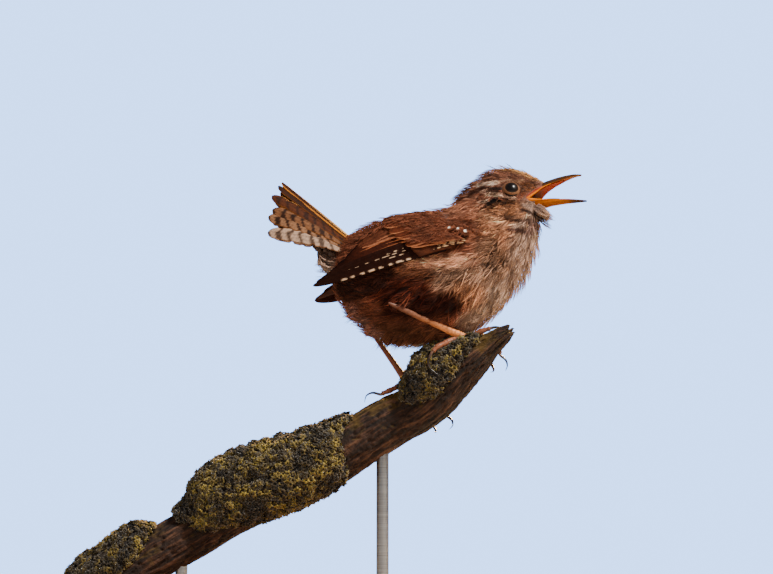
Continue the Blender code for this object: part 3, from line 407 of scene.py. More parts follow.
HEAD_MARKS = {
    "crown": ((5.0, 0.0, 5.0), (-10.0, 3.0, 3.0), 4.5, 3.0, (0.22, 0.09, 0.052), 0.85),
    # Painted highlight: a warm rim of light along the top of the crown.
    "crown_painted_rim_light": ((8.0, 0.0, 3.2), (-2.0, 0.0, 6.6), 1.1, 1.1, (0.6, 0.28, 0.1), 0.85),
    "chin": ((9.6, 0.0, -5.0), (8.3, 2.6, -5.8), 1.2, 1.0, (0.34, 0.22, 0.17), 0.9),
    "cheek": ((-0.4, 9.1, -7.0), (5.0, 7.0, -6.8), 1.8, 1.4, (0.31, 0.13, 0.06), 0.9),
    "lore": ((7.9, 4.0, 0.3), (5.6, 5.6, -0.6), 0.9, 1.0, (0.13, 0.045, 0.017), 0.92),
    "lore_pale": ((5.9, 4.9, 1.9), (4.7, 5.9, 1.3), 0.25, 0.4, (0.42, 0.22, 0.12), 0.8),
    "nape_pale": ((-9.5, 8.0, -3.0), (-5.5, 8.5, -3.4), 0.25, 0.5, (0.42, 0.2, 0.12), 0.7),
    "brow": ((-5.9, 5.7, 0.6), (-0.8, 7.0, 0.95), 0.5, 0.45, (0.93, 0.6, 0.44), 0.97),
    "brow_over": ((-0.8, 7.0, 0.95), (2.8, 6.3, 1.75), 0.15, 0.35, (0.42, 0.22, 0.13), 0.85),
    "brow_front": ((2.8, 6.3, 1.75), (5.0, 5.6, 0.9), 0.12, 0.35, (0.38, 0.19, 0.1), 0.8),
    "eye_stripe": ((-4.2, 7.1, -0.6), (1.0, 7.6, -1.0), 0.3, 0.4, (0.02, 0.006, 0.004), 0.97),
    "stripe_back": ((-8.0, 6.5, -2.2), (-4.2, 7.1, -0.6), 0.5, 0.7, (0.04, 0.014, 0.008), 0.85),
    "second_line": ((-4.4, 7.4, -1.5), (-2.5, 8.1, -2.5), 0.35, 0.4, (0.8, 0.45, 0.3), 0.92),
    "third_line": ((-2.5, 8.1, -2.5), (0.6, 8.0, -2.85), 0.5, 0.4, (0.93, 0.55, 0.36), 0.97),
    "fourth_line": ((0.6, 8.0, -2.85), (4.2, 7.1, -3.9), 0.4, 0.5, (0.65, 0.35, 0.22), 0.85),
    "ear_spot": ((-2.2, 9.1, -5.6), (-0.6, 8.5, -4.3), 0.38, 0.4, (0.012, 0.004, 0.003), 0.97),
    "ear_front": ((-0.6, 8.5, -4.3), (0.7, 8.3, -4.6), 0.28, 0.35, (0.008, 0.003, 0.002), 0.97),
    "ear_pale": ((-4.5, 9.1, -5.1), (-2.7, 8.9, -4.75), 0.35, 0.35, (0.75, 0.45, 0.3), 0.9),
    "jaw": ((-1.8, 9.7, -8.2), (4.3, 7.2, -9.9), 0.25, 0.5, (0.045, 0.016, 0.01), 0.85),
    "jaw_front": ((4.3, 7.2, -9.9), (7.3, 4.1, -9.0), 0.25, 0.4, (0.045, 0.016, 0.01), 0.85),
    "moustache": ((6.0, 5.7, -6.5), (8.3, 2.6, -7.0), 0.3, 0.4, (0.03, 0.01, 0.008), 0.9),
    "moustache_pale": ((6.2, 5.5, -5.2), (8.2, 2.9, -5.9), 0.25, 0.4, (0.6, 0.38, 0.28), 0.85),
    "throat_dark": ((6.9, 4.2, -11.4), (8.0, 1.0, -9.8), 1.4, 1.0, (0.15, 0.075, 0.06), 0.85),
    "collar": ((-2.0, 10.1, -9.7), (1.9, 8.4, -10.8), 0.45, 0.7, (0.62, 0.31, 0.17), 0.85),
    "collar_front": ((3.9, 7.0, -11.2), (6.8, 4.4, -10.4), 0.28, 0.45, (0.7, 0.45, 0.32), 0.85),
    "throat_spot": ((2.9, 7.5, -12.5), (5.7, 5.3, -12.1), 0.45, 0.5, (0.05, 0.012, 0.008), 0.95),
}
SIDE_ON = np.array((1.0, 0.4, 1.0))
MOTTLE_SCALE = 0.55


def mark_weight(points, start, end, reach, softness):
    """How strongly a mark that runs from start to end shows at each point."""
    line = end - start
    part = np.clip((points - start) @ line / line.dot(line), 0, 1)
    away = np.linalg.norm(points - start - part[:, None] * line, axis=1)
    return 1 - ease(away, reach, reach + softness)


def plumage_colour(points):
    """The colour of the plumage at points of the layout, before any feather's own variation."""
    folded = np.array(points) * (1, 0, 1) + np.abs(points) * (0, 1, 0)
    on_head = to_head(points)
    on_head[:, 1] = np.abs(on_head[:, 1])
    colour = np.tile(UPPERPARTS, (len(folded), 1))
    for marks, place, scale in ((BODY_MARKS, folded, 1.0), (HEAD_MARKS, on_head, SIDE_ON)):
        for start, end, reach, softness, shade, strength in marks.values():
            weight = mark_weight(place * scale, np.array(start) * scale, np.array(end) * scale, reach, softness)
            weight = strength * weight[:, None]
            colour = colour * (1 - weight) + np.array(shade) * weight
    return colour


def mouth_red(points):
    """How far points lie within the opening of the mouth, where bare skin shows."""
    x, y, z = np.moveaxis(to_head(points), -1, 0)
    upper = np.interp(x, [6.7, 8.6, 10.2, 14.0], [-3.0, -1.1, 0.25, 2.4])
    return ease(x, 6.3, 6.8) * ease(z, -3.5, -3.25) * (1 - ease(z - upper, 0.1, 0.35)) * (1 - ease(np.abs(y), 4.6, 5.2))


def set_tints(mesh, tints):
    """Writes a colour to each point of a mesh, as its attribute tint."""
    layer = mesh.color_attributes.new(name="tint", type="FLOAT_COLOR", domain="POINT")
    rgba = np.ones((len(tints), 4), np.float32)
    rgba[:, :3] = np.clip(tints, 0.002, 0.95)
    layer.data.foreach_set("color", rgba.ravel())


def tinted_finish(name, roughness, grain_scale, grain_depth, **sockets):
    """A finish whose colour is the piece's own tint, broken up by a fine grain."""
    finish, tree, shader = new_finish(name, roughness, **sockets)
    tint = add_node(tree, "ShaderNodeAttribute", {"attribute_name": "tint"})
    place = add_node(tree, "ShaderNodeTexCoord")
    grain = add_node(
        tree, "ShaderNodeTexNoise", None, {"Vector": place.outputs["Object"], "Scale": grain_scale, "Detail": 3.0}
    )
    level = add_node(
        tree, "ShaderNodeMapRange", None,
        {"Value": grain.outputs["Fac"], "From Min": 0.3, "From Max": 0.7, "To Min": 1 - grain_depth, "To Max": 1 + grain_depth},
    )
    scaled = add_node(
        tree, "ShaderNodeVectorMath", {"operation": "SCALE"}, {0: tint.outputs["Color"], "Scale": level.outputs["Result"]}
    )
    tree.links.new(scaled.outputs[0], shader.inputs["Base Color"])
    bump = add_node(tree, "ShaderNodeBump", None, {"Height": grain.outputs["Fac"], "Strength": 0.25, "Distance": 0.0002})
    tree.links.new(bump.outputs["Normal"], shader.inputs["Normal"])
    return finish


skin_finish = tinted_finish("skin_under_plumage", 0.85, 1500.0, 0.25)
skin.data.materials.clear()
skin.data.materials.append(skin_finish)
skin_points = layout_points(skin)
bare = mouth_red(skin_points)[:, None]
# The skin carries the plumage's markings at 0.45 of their brightness. This is painted shade in the gaps between the
# feathers. In the opening of the mouth it is bare red skin.
set_tints(skin.data, plumage_colour(skin_points) * 0.45 * (1 - bare) + np.array((0.3, 0.02, 0.004)) * bare)
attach(skin, "root")
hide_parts("head", "neck", "torso", "thigh_right", "thigh_left")

# The lie of the plumage: which way the feathers point at a few places of one side of the body. In
# between, each place follows the nearest of them. Outward is the second value of place and direction.
LIE = np.array([
    ((54.0, 1.0, 121.5), (-1.0, 0.0, 0.35)),
    ((46.0, 0.0, 124.0), (-1.0, 0.0, 0.0)),
    ((40.0, 0.0, 121.5), (-1.0, 0.0, -0.7)),
    ((35.0, 0.0, 117.0), (-1.0, 0.0, -0.7)),
    ((28.0, 0.0, 113.0), (-1.0, 0.0, -0.15)),
    ((18.0, 0.0, 111.0), (-1.0, 0.0, -0.2)),
    ((8.0, 0.0, 108.0), (-1.0, 0.0, -0.3)),
    ((54.0, 4.0, 117.5), (-1.0, 0.4, 0.1)),
    ((49.0, 6.5, 116.0), (-1.0, 0.1, -0.3)),
    ((44.0, 7.5, 114.5), (-1.0, 0.0, -0.55)),
    ((44.0, 6.0, 119.5), (-1.0, 0.1, -0.25)),
    ((40.0, 8.5, 111.0), (-0.9, 0.1, -0.7)),
    ((56.0, 1.0, 112.8), (-0.4, 0.0, -1.0)),
    ((55.5, 0.0, 108.0), (-0.25, 0.0, -1.0)),
    ((55.0, 2.0, 104.0), (-0.15, 0.1, -1.0)),
    ((53.0, 0.0, 97.0), (-0.35, 0.0, -1.0)),
    ((46.0, 11.0, 99.0), (-0.7, 0.15, -0.75)),
    ((38.0, 12.0, 104.0), (-1.0, 0.1, -0.3)),
    ((46.0, 0.0, 87.0), (-0.85, 0.0, -0.65)),
    ((33.0, 0.0, 78.0), (-1.0, 0.0, -0.15)),
    ((20.0, 0.0, 76.5), (-1.0, 0.0, 0.1)),
    ((38.0, 13.0, 92.0), (-0.6, 0.1, -0.8)),
    ((28.0, 13.5, 94.0), (-0.9, 0.1, -0.35)),
    ((26.0, 13.0, 88.0), (-0.75, 0.0, -0.6)),
    ((14.0, 11.0, 90.0), (-0.95, -0.1, -0.2)),
    ((38.0, 9.0, 84.0), (-0.55, -0.3, -0.8)),
    ((26.0, 9.0, 80.0), (-0.9, -0.2, -0.35)),
    ((10.0, 6.0, 82.0), (-0.9, -0.1, 0.1)),
    ((6.0, 0.0, 84.0), (-0.7, 0.0, 0.5)),
    ((4.0, 6.0, 95.0), (-0.9, -0.2, 0.2)),
])
LIE_SHARPNESS = 3.5


def lie_of(points, normals):
    """The direction in which the plumage lies at points of the skin, along its surface."""
    outward = np.where(points[:, 1] < 0, -1.0, 1.0)
    folded = points * (1, 0, 1) + np.abs(points) * (0, 1, 0)
    away = np.linalg.norm(folded[:, None] - LIE[None, :, 0], axis=2)
    weights = 1 / (away + 0.5) ** LIE_SHARPNESS
    flow = np.einsum("nk,kd->nd", weights, unit(LIE[:, 1])) / weights.sum(1)[:, None]
    flow[:, 1] *= outward
    return unit(flow - normals * (flow * normals).sum(1)[:, None])


# The body feathers: tracts of small feathers in staggered rows. Each feather is a fan of fine barbs
# from a shaft, rooted in the skin and lying over the feathers behind it. Every barb is a closed,
# three-sided blade that tapers to a point.
UNWRAP_BODY, UNWRAP_THIGH = 0.74, 0.08
UNWRAP_PATCH = 0.003
ROOT_SUNK = 0.12
# Each tract: spacing, feather length, half width, barbs, nodes of a barb, barb width, rise of the tips
# over the skin, looseness, variation of tone from feather to feather, and its dark middle streak.
TRACTS = {
    "face": (0.52, 1.8, 0.5, 5, 3, 0.15, 0.34, 0.10, 0.42, 0.3),
    "crown": (0.78, 3.2, 0.72, 7, 3, 0.17, 0.6, 0.12, 0.55, 1.15),
    "neck": (0.95, 3.8, 1.1, 9, 3, 0.2, 0.85, 0.14, 0.42, 0.55),
    "breast": (1.3, 5.6, 1.3, 11, 4, 0.22, 1.6, 0.17, 0.36, 0.3),
    "back": (1.45, 5.6, 1.8, 13, 4, 0.2, 1.6, 0.12, 0.26, 0.3),
    "flank_right": (1.4, 7.6, 1.4, 13, 4, 0.22, 1.6, 0.24, 0.5, 0.2),
    "flank_left": (1.4, 7.6, 1.4, 13, 4, 0.22, 1.6, 0.24, 0.5, 0.2),
    "belly": (1.5, 7.2, 1.6, 13, 4, 0.2, 1.9, 0.3, 0.45, 0.2),
    "thigh_right": (1.0, 3.4, 1.0, 9, 3, 0.18, 0.6, 0.2, 0.4, 0.1),
    "thigh_left": (1.0, 3.4, 1.0, 9, 3, 0.18, 0.6, 0.2, 0.4, 0.1),
}
FAN_ANGLE = math.radians(112)
EYE_CLEAR, EYE_PARTS = 2.1, 4.6
REAR_SHORT = 0.5
NAPE, NAPE_RUFFLE = (np.array((36.5, 0.0, 118.5)), np.array((42.0, 0.0, 123.0))), 1.6
THROAT, THROAT_RUFFLE = (np.array((55.0, 0.0, 108.0)), np.array((53.0, 0.0, 97.0))), 0.7
EYE_DROP = 0.4

grid_tree = KDTree(skin_grid.shape[0] * skin_grid.shape[1])
for index, point in enumerate(skin_grid.reshape(-1, 3)):
    grid_tree.insert(point, index)
grid_tree.balance()


def place_on_body(points):
    """Where points of the skin lie on its unwrap: along the body, round it, and how far off it."""
    found = [grid_tree.find(point) for point in points]
    index = np.array([hit[1] for hit in found])
    ring, side = np.divmod(index, SKIN_SIDES)
    return skin_at[ring], skin_angles[side], np.array([hit[2] for hit in found])


def place_on_thigh(points, path):
    """The same for a thigh: along it and round it, from 0 to 1, and the direction down it."""
    away = np.linalg.norm(points[:, None] - path[None], axis=2)
    nearest = away.argmin(1)
    offset = points - path[nearest]
    round_it = np.arctan2(offset[:, 1], offset[:, 0]) / (2 * math.pi) + 0.5
    return nearest / (len(path) - 1), round_it, unit(np.gradient(path, axis=0))[nearest], away.min(1)


def eye_middle(side):
    low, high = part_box(f"eye_{side}")
    return np.array((low + high) / 2) / MM - (0, 0, RAISE + EYE_DROP)


def tract_of(points, at, angle, off_body):
    """The name of the tract that each point of the skin belongs to."""
    names = np.full(len(points), "belly", dtype=object)
    rise = np.sin(angle)
    names[rise > -0.72] = np.where(points[rise > -0.72, 1] < 0, "flank_right", "flank_left")
    names[(rise > 0.35) & (at < 8.6)] = "back"
    names[(at > 7.2) & (rise < 0.35)] = "breast"
    names[(at >= 8.6) & (rise >= 0.35)] = "neck"
    names[(at > 9.6) & (rise < 0.5)] = "neck"
    names[(at > 10.8) & (rise >= 0.5)] = "crown"
    on_head = to_head(points)
    names[(on_head[:, 0] > -1.0) & (on_head[:, 2] > -6.5) & (on_head[:, 2] < 4.2)] = "face"
    for side, path in thigh_paths.items():
        along, _, _, away = place_on_thigh(points, path)
        names[(off_body > 0.9) & (away < 5.5)] = f"thigh_{side}"
    return names


def keep_apart(points, spacing):
    """Which points keep their distance from all the ones kept before them."""
    kept, cells = [], {}
    keys = np.floor(points / spacing).astype(int)
    for index, (point, key) in enumerate(zip(points.tolist(), keys.tolist())):
        near = (
            other
            for i in (-1, 0, 1) for j in (-1, 0, 1) for k in (-1, 0, 1)
            for other in cells.get((key[0] + i, key[1] + j, key[2] + k), ())
        )
        if all(math.dist(point, other) > spacing for other in near):
            kept.append(index)
            cells.setdefault(tuple(key), []).append(point)
    return np.array(kept)


def scatter(corners, spacing, random):
    """Evenly spread places on triangles, given by their corners, and the normals there."""
    cross = np.cross(corners[:, 1] - corners[:, 0], corners[:, 2] - corners[:, 0])
    area = np.linalg.norm(cross, axis=1) / 2
    count = int(7 * area.sum() / spacing ** 2)
    chosen = random.choice(len(corners), count, p=area / area.sum())
    a, b = random.random((2, count, 1))
    flip = (a + b) > 1
    a, b = np.where(flip, 1 - a, a), np.where(flip, 1 - b, b)
    triangle = corners[chosen]
    points = triangle[:, 0] + a * (triangle[:, 1] - triangle[:, 0]) + b * (triangle[:, 2] - triangle[:, 0])
    kept = keep_apart(points, spacing)
    return points[kept], unit(cross[chosen][kept])


def drape(tree, points):
    """The nearest places on a surface, and the normals there."""
    places, normals = np.empty_like(points), np.empty_like(points)
    for index, point in enumerate(points.tolist()):
        places[index], normals[index] = tree.find_nearest(point)[:2]
    return places, normals


def blade_piece(name, spines, normals, widths, tints, patches, finish):
    """One mesh of tapering three-sided blades. Spines are rows of nodes, and the last node is a tip."""
    count, nodes = spines.shape[:2]
    along = unit(np.gradient(spines, axis=1))
    side = unit(np.cross(normals, along))[:, :-1]
    half = widths[:, :-1, None] / 2
    body = spines[:, :-1]
    rings = np.stack([body - side * half, body + side * half, body + normals[:, :-1] * half * 0.7], 2)
    points = np.concatenate([rings.reshape(count, -1, 3), spines[:, -1:]], 1)
    each = 3 * (nodes - 1) + 1
    pattern = [(0, 2, 1)]
    for ring in range(nodes - 2):
        a, b = 3 * ring, 3 * ring + 3
        for i, j in ((0, 1), (1, 2), (2, 0)):
            pattern += [(a + i, a + j, b + j), (a + i, b + j, b + i)]
    last = 3 * (nodes - 2)
    pattern += [(last, last + 1, each - 1), (last + 1, last + 2, each - 1), (last + 2, last, each - 1)]
    faces = (np.array(pattern)[None] + (np.arange(count) * each)[:, None, None]).reshape(-1, 3)
    mesh = bpy.data.meshes.new(name)
    mesh.vertices.add(count * each)
    mesh.vertices.foreach_set("co", ((points.reshape(-1, 3) + (0, 0, RAISE)) * MM).ravel())
    mesh.loops.add(faces.size)
    mesh.loops.foreach_set("vertex_index", faces.ravel())
    mesh.polygons.add(len(faces))
    mesh.polygons.foreach_set("loop_start", np.arange(len(faces)) * 3)
    mesh.update(calc_edges=True)
    mesh.shade_smooth()
    node_of = np.append(np.repeat(np.arange(nodes - 1), 3), nodes - 1)
    set_tints(mesh, tints[:, node_of].reshape(-1, 3))
    spread = np.append(np.tile((-0.1, 0.1, 0.0), nodes - 1), 0.0) * UNWRAP_PATCH
    unwrap = patches[:, node_of] + np.stack([0 * spread, spread], -1)
    mesh.uv_layers.new(name="OFBake").data.foreach_set("uv", unwrap.reshape(-1, 2)[faces.ravel()].ravel())
    mesh.materials.append(finish)
    obj = bpy.data.objects.new(name, mesh)
    bpy.context.scene.collection.objects.link(obj)
    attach(obj, "root")
    return obj


def feather_fans(roots, normals, lies, tract, random, corner, tree=None, stretch=1.0, sag=None, tinge=1.0, ruffle=1.0):
    """The barbs of feathers: spines, normals, widths, tints and unwrap patches, ready for a piece.

    With a tree they lie on its surface, further off it by their ruffle. Without one they stand free,
    and bend by their sag.
    """
    _, length, half, barbs, nodes, width, rise, loose, tone, streak = tract
    count = len(roots)
    cross = np.cross(normals, lies)
    lies = unit(lies + cross * random.normal(0, loose, count)[:, None])
    cross = np.cross(normals, lies)
    long = length * random.uniform(0.85, 1.15, (count, 1, 1)) * np.reshape(stretch, (-1, 1, 1))
    fan = np.linspace(-FAN_ANGLE, FAN_ANGLE, barbs) + random.normal(0, 0.05 + loose * 0.3, (count, barbs))
    fan = fan[..., None]
    tip_along = long * (0.6 + 0.4 * np.cos(fan)) * random.uniform(0.92, 1.06, (count, barbs, 1))
    tip_across = half * np.sin(fan) * random.uniform(0.85, 1.1, (count, barbs, 1))
    root_along = np.maximum(tip_along - long * 0.62, 0.0)
    part = np.linspace(0, 1, nodes)[None, None]
    along = root_along + (tip_along - root_along) * part
    curl = long * random.normal(0, 0.7 * loose, (count, 1, 1))
    across = tip_across * part ** 0.75 + curl * (along / long) ** 2
    flat = roots[:, None, None] + lies[:, None, None] * along[..., None] + cross[:, None, None] * across[..., None]
    lift = rise * np.reshape(ruffle, (-1, 1, 1)) * random.uniform(0.8, 1.2, (count, 1, 1)) * (along / long) ** 0.8
    lift = lift * (1 - 0.2 * ((across / half) ** 2).clip(0, 1)) - ROOT_SUNK * (1 - part)
    lift = lift + np.abs(random.normal(0, loose * 0.35, (count, barbs, 1))) * part ** 2
    if tree:
        places, facing = drape(tree, flat.reshape(-1, 3))
        places, facing = places.reshape(flat.shape), facing.reshape(flat.shape)
    else:
        places = flat + (along / long)[..., None] ** 2 * sag[:, None, None]
        facing = normals[:, None, None] + 0 * flat
    spines = places + facing * lift[..., None]
    colour = plumage_colour(spines.reshape(-1, 3)).reshape(flat.shape)
    mottle = tone * np.array([noise.noise(point) for point in (roots * MOTTLE_SCALE).tolist()]) * 1.6
    shade = np.exp(
        (mottle + random.normal(0, tone * 0.6, count))[:, None, None]
        + random.normal(0, 0.34, (count, barbs, 1)) - streak * (np.cos(fan) - 0.4)
    )
    # Each barb darkens from 1.1 at its tip to 0.55 at its root. This is painted shade where the feathers lie over one
    # another.
    colour = colour * tinge * (shade * (0.55 + 0.55 * part))[..., None]
    widths = width * random.uniform(0.8, 1.2, (count, barbs, 1)) * (1 - 0.35 * part)
    patch = np.stack([along / long - 0.5, 0.45 * across / half], -1) * UNWRAP_PATCH + corner[:, None, None]
    shape = (count * barbs, nodes)
    return (
        spines.reshape(*shape, 3), facing.reshape(*shape, 3), widths.reshape(shape),
        colour.reshape(*shape, 3), patch.reshape(*shape, 2),
    )


def body_corner(roots):
    """The corners of the unwrap's patches for feathers rooted on the body."""
    at, angle, _ = place_on_body(roots)
    return np.stack([0.02 + UNWRAP_BODY * at / len(BODY), 0.02 + 0.96 * angle / (2 * math.pi)], -1)


skin.data.calc_loop_triangles()
corner_index = np.empty(len(skin.data.loop_triangles) * 3, int)
skin.data.loop_triangles.foreach_get("vertices", corner_index)
skin_corners = layout_points(skin)[corner_index.reshape(-1, 3)]
middles = skin_corners.mean(1)
middle_at, middle_angle, middle_off = place_on_body(middles)
skin_tracts = tract_of(middles, middle_at, middle_angle, middle_off)
plumage_finish = tinted_finish("plumage", 0.75, 2600.0, 0.25, Specular_IOR_Level=0.12)

for number, (tract_name, tract) in enumerate(TRACTS.items()):
    random = np.random.default_rng(40 + number)
    roots, normals = scatter(skin_corners[skin_tracts == tract_name], tract[0], random)
    clear = mouth_red(roots - normals * 0.1) < 0.2
    on_head = to_head(roots)
    clear &= ~((np.abs(on_head[:, 1]) < 2.4) & (on_head[:, 0] > 9.6))
    roots, normals = roots[clear], normals[clear]
    lies = lie_of(roots, normals)
    stretch = np.ones(len(roots))
    if tract_name in ("belly", "flank_right", "flank_left"):
        stretch = REAR_SHORT + (1 - REAR_SHORT) * ease(roots[:, 0], 9.0, 19.0)
    if tract_name in ("face", "crown", "neck"):
        for side in LEGS:
            inwards = eye_middle(side) - roots
            away = np.linalg.norm(inwards, axis=1)
            towards = (lies * unit(inwards)).sum(1).clip(0) * (1 - ease(away, EYE_PARTS - 1.5, EYE_PARTS))
            lies = unit(lies - unit(inwards) * towards[:, None])
            lies = unit(lies - normals * (lies * normals).sum(1)[:, None])
            stretch *= 0.55 + 0.45 * ease(away, EYE_CLEAR, EYE_CLEAR + 2.0)
            keep = away > EYE_CLEAR + 0.1
            roots, normals, lies, stretch = roots[keep], normals[keep], lies[keep], stretch[keep]
    if tract_name.startswith("thigh"):
        along, round_it, lies, _ = place_on_thigh(roots, thigh_paths[tract_name[6:]])
        lies = unit(lies - normals * (lies * normals).sum(1)[:, None])
        shift = 0.8 if tract_name.endswith("right") else 0.9
        corner = np.stack([shift + UNWRAP_THIGH * along, 0.02 + 0.3 * round_it], -1)
    else:
        corner = body_corner(roots)
    middle_line = roots * (1, 0.6, 1)
    ruffle = 1 + NAPE_RUFFLE * mark_weight(middle_line, *NAPE, 2.2, 3.2)
    ruffle += THROAT_RUFFLE * mark_weight(middle_line, *THROAT, 2.5, 4.0)
    fans = feather_fans(roots, normals, lies, tract, random, corner, skin_tree, stretch, ruffle=ruffle)
    tract_piece = blade_piece(f"feathers_{tract_name}", *fans, plumage_finish)
    print("tract", tract_name, len(roots), "feathers", len(tract_piece.data.polygons), "faces")

# Longer single feathers that lie over the others: pale strands along the flank, the lower breast and
# under the wing, and short dark flecks down the breast. Each group: how many on a side, one corner and
# the other of the box of roots (x, z), which way they lie (x, z), length, width, and lighter or darker.
STRANDS = {
    "flank": (34, (31.0, 87.0), (43.0, 96.0), (-0.4, -0.92), 8.5, 0.26, 2.6),
    "edge": (34, (41.0, 87.0), (49.5, 96.0), (-0.62, -0.78), 9.0, 0.24, 2.0),
    "under_wing": (44, (21.0, 94.2), (38.0, 97.4), (-1.0, -0.2), 6.0, 0.26, 1.5),
    "band_end": (36, (21.5, 94.6), (28.0, 97.2), (-1.0, -0.25), 4.5, 0.26, 1.25),
    "flank_shade": (40, (24.0, 92.0), (40.0, 96.0), (-0.9, -0.4), 5.5, 0.26, 0.35),
    "neck": (30, (37.0, 105.0), (46.0, 111.0), (-0.9, -0.5), 3.4, 0.24, 1.7),
    "hind": (22, (15.0, 85.0), (27.0, 94.0), (-0.8, -0.45), 5.5, 0.2, 4.0),
    "rump_side": (30, (8.0, 82.0), (15.0, 90.0), (-0.7, -0.6), 3.0, 0.18, 3.2),
    "flecks": (90, (43.0, 90.0), (50.8, 102.0), (-0.45, -0.9), 2.6, 0.28, 0.2),
    "crown": (110, (37.0, 114.0), (52.0, 121.5), (-1.0, -0.25), 2.4, 0.22, 0.16),
    "nape": (90, (34.0, 108.0), (44.0, 117.0), (-0.85, -0.5), 2.8, 0.22, 0.25),
    "nape_light": (50, (35.0, 108.0), (46.0, 118.0), (-0.85, -0.5), 2.2, 0.16, 2.0),
}
random = np.random.default_rng(55)
pieces = []
for side in (-1, 1):
    for count, low, high, lie, length, width, lighter in STRANDS.values():
        spots = np.array(low) + random.random((count, 2)) * np.subtract(high, low)
        guesses = np.stack([spots[:, 0], np.full(count, side * 17.0), spots[:, 1]], -1)
        roots, normals = drape(skin_tree, guesses)
        clear = [np.linalg.norm(roots - eye_middle(name), axis=1) > EYE_CLEAR + 0.8 for name in LEGS]
        clear = np.logical_and(*clear) & (mouth_red(roots - normals * 0.1) < 0.2)
        roots, normals = roots[clear], normals[clear]
        lies = np.tile((lie[0], 0.0, lie[1]), (len(roots), 1))
        lies = unit(lies - normals * (lies * normals).sum(1)[:, None])
        rise = 0.45 + 0.19 * length
        tract = (0, length, 0.3, 3, 5, width, rise, 0.2, 0.25, 0.0)
        pieces.append(feather_fans(roots, normals, lies, tract, random, body_corner(roots), skin_tree, 1.0, None, lighter))
strand_piece = blade_piece("feathers_strands", *(np.concatenate(part) for part in zip(*pieces)), plumage_finish)

# The loose feathers that stand free: the beard under the open bill, the fluff behind the legs and
# round the vent, and a few tips raised on the crown. Each group: feathers, one corner and the other of
# the box of roots, one and the other of the box of tips, sag, half width, barbs, and how much lighter
# than the plumage round it.
LOOSE = {
    "beard": (64, (7.8, -3.2, -4.6), (9.8, 3.2, -5.6), (10.6, -3.0, -5.6), (12.4, 3.0, -8.0), (0.3, 0.0, -0.3), 0.8, 9, 1.0),
    "beard_dark": (22, (8.0, -3.2, -5.2), (9.6, 3.2, -6.2), (11.2, -2.8, -6.4), (12.9, 2.8, -9.0), (0.3, 0.0, -0.3), 0.25, 5, 0.3),
    "beard_tips": (14, (8.2, -2.6, -6.2), (9.2, 2.6, -7.4), (10.9, -2.4, -9.4), (12.4, 2.4, -11.6), (0.4, 0.0, 0.2), 0.3, 5, 0.25),
    "crest": (26, (-1.0, -4.0, 5.8), (5.0, 4.0, 6.0), (-5.0, -4.0, 6.6), (1.4, 4.0, 7.6), (-0.3, 0.0, -0.2), 0.4, 5, 0.6),
}
LOOSE_BODY = {
    "vent_fluff": (40, (6.0, -5.5, 84.5), (8.0, 5.5, 89.5), (3.8, -6.0, 83.6), (5.6, 6.0, 86.8), (-0.2, 0.0, -0.3), 0.5, 7, 1.5),
    "vent_low": (40, (10.0, -5.0, 80.0), (13.5, 5.0, 83.0), (8.4, -5.5, 79.0), (11.2, 5.5, 81.4), (-0.2, 0.0, -0.3), 0.6, 9, 1.7),
    "vent_straws": (7, (5.0, -5.0, 85.5), (9.0, 3.0, 84.0), (2.0, -5.0, 84.6), (5.6, 3.0, 82.4), (-0.2, 0.0, -0.4), 0.15, 3, 0.5),
    "belly_fringe": (110, (15.0, -6.5, 78.6), (34.0, 6.5, 79.8), (12.0, -6.0, 75.8), (30.0, 6.0, 77.2), (-0.3, 0.0, -0.2), 0.6, 7, 1.3),
    "fringe_tips": (36, (13.0, -6.5, 78.6), (32.0, 6.5, 79.4), (9.6, -6.0, 75.0), (28.0, 6.0, 76.2), (-0.5, 0.0, -0.2), 0.25, 5, 0.9),
    "under_tail": (56, (2.4, -3.6, 94.6), (5.4, 3.6, 98.4), (-4.4, -3.4, 97.4), (1.0, 3.4, 100.2), (0.0, 0.0, -1.6), 1.1, 11, 1.0),
    "filaments": (5, (2.6, -4.0, 93.6), (5.0, 2.0, 92.0), (-5.2, -3.6, 96.3), (-3.6, 1.0, 94.4), (0.6, 0.0, -1.4), 0.1, 3, 0.4),
}
random = np.random.default_rng(61)
pieces = []
for name, (count, root_a, root_b, tip_a, tip_b, sag, half, barbs, lighter) in (*LOOSE.items(), *LOOSE_BODY.items()):
    share = random.random((count, 3))
    share[:, 1] = (np.arange(count) + random.random(count)) / count
    roots = np.array(root_a) + share * (np.array(root_b) - np.array(root_a))
    tips = np.array(tip_a) + (share * 0.8 + 0.2 * random.random((count, 3))) * (np.array(tip_b) - np.array(tip_a))
    sag = np.tile(sag, (count, 1))
    if name in LOOSE:
        roots, tips, sag = from_head(roots), from_head(tips), from_head(sag) - HEAD_PIVOT
    roots, normals = drape(skin_tree, roots)
    lies = unit(tips - roots)
    normals = unit(normals - lies * (lies * normals).sum(1)[:, None])
    length = np.linalg.norm(tips - roots, axis=1)
    tract = (0, 1.0, half, barbs, 4, 0.17, 0.3, 0.05, 0.3, 0.1)
    pieces.append(feather_fans(roots, normals, lies, tract, random, body_corner(roots), None, length, sag, lighter))
loose_piece = blade_piece("feathers_loose", *(np.concatenate(part) for part in zip(*pieces)), plumage_finish)

# The wings, folded: a fleshy core, and over it the flight feathers and their coverts, each a thin closed
# vane with a raised shaft, rooted in the core. The lowest feather of a family lies under the others.
# A row of WING is x, lower edge, upper edge and distance from the middle of the bird.
WING = np.array([
    (-4.2, 90.9, 91.3, 8.4),
    (-1.0, 91.9, 93.2, 8.9),
    (4.2, 93.7, 97.6, 10.0),
    (9.3, 94.8, 102.2, 11.3),
    (18.4, 97.0, 107.4, 13.3),
    (28.7, 99.6, 110.6, 13.9),
    (34.6, 101.6, 110.2, 13.0),
    (38.6, 104.4, 107.6, 11.4),
])
WING_MIDDLE, WING_TALL = 95.5, 18.4
WING_DROP = {-1: 0.0, 1: 1.3}
SIDES = {"right": -1, "left": 1}
VANE_STEP, VANE_ACROSS = 0.38, 12
VANE_THICK = 0.1
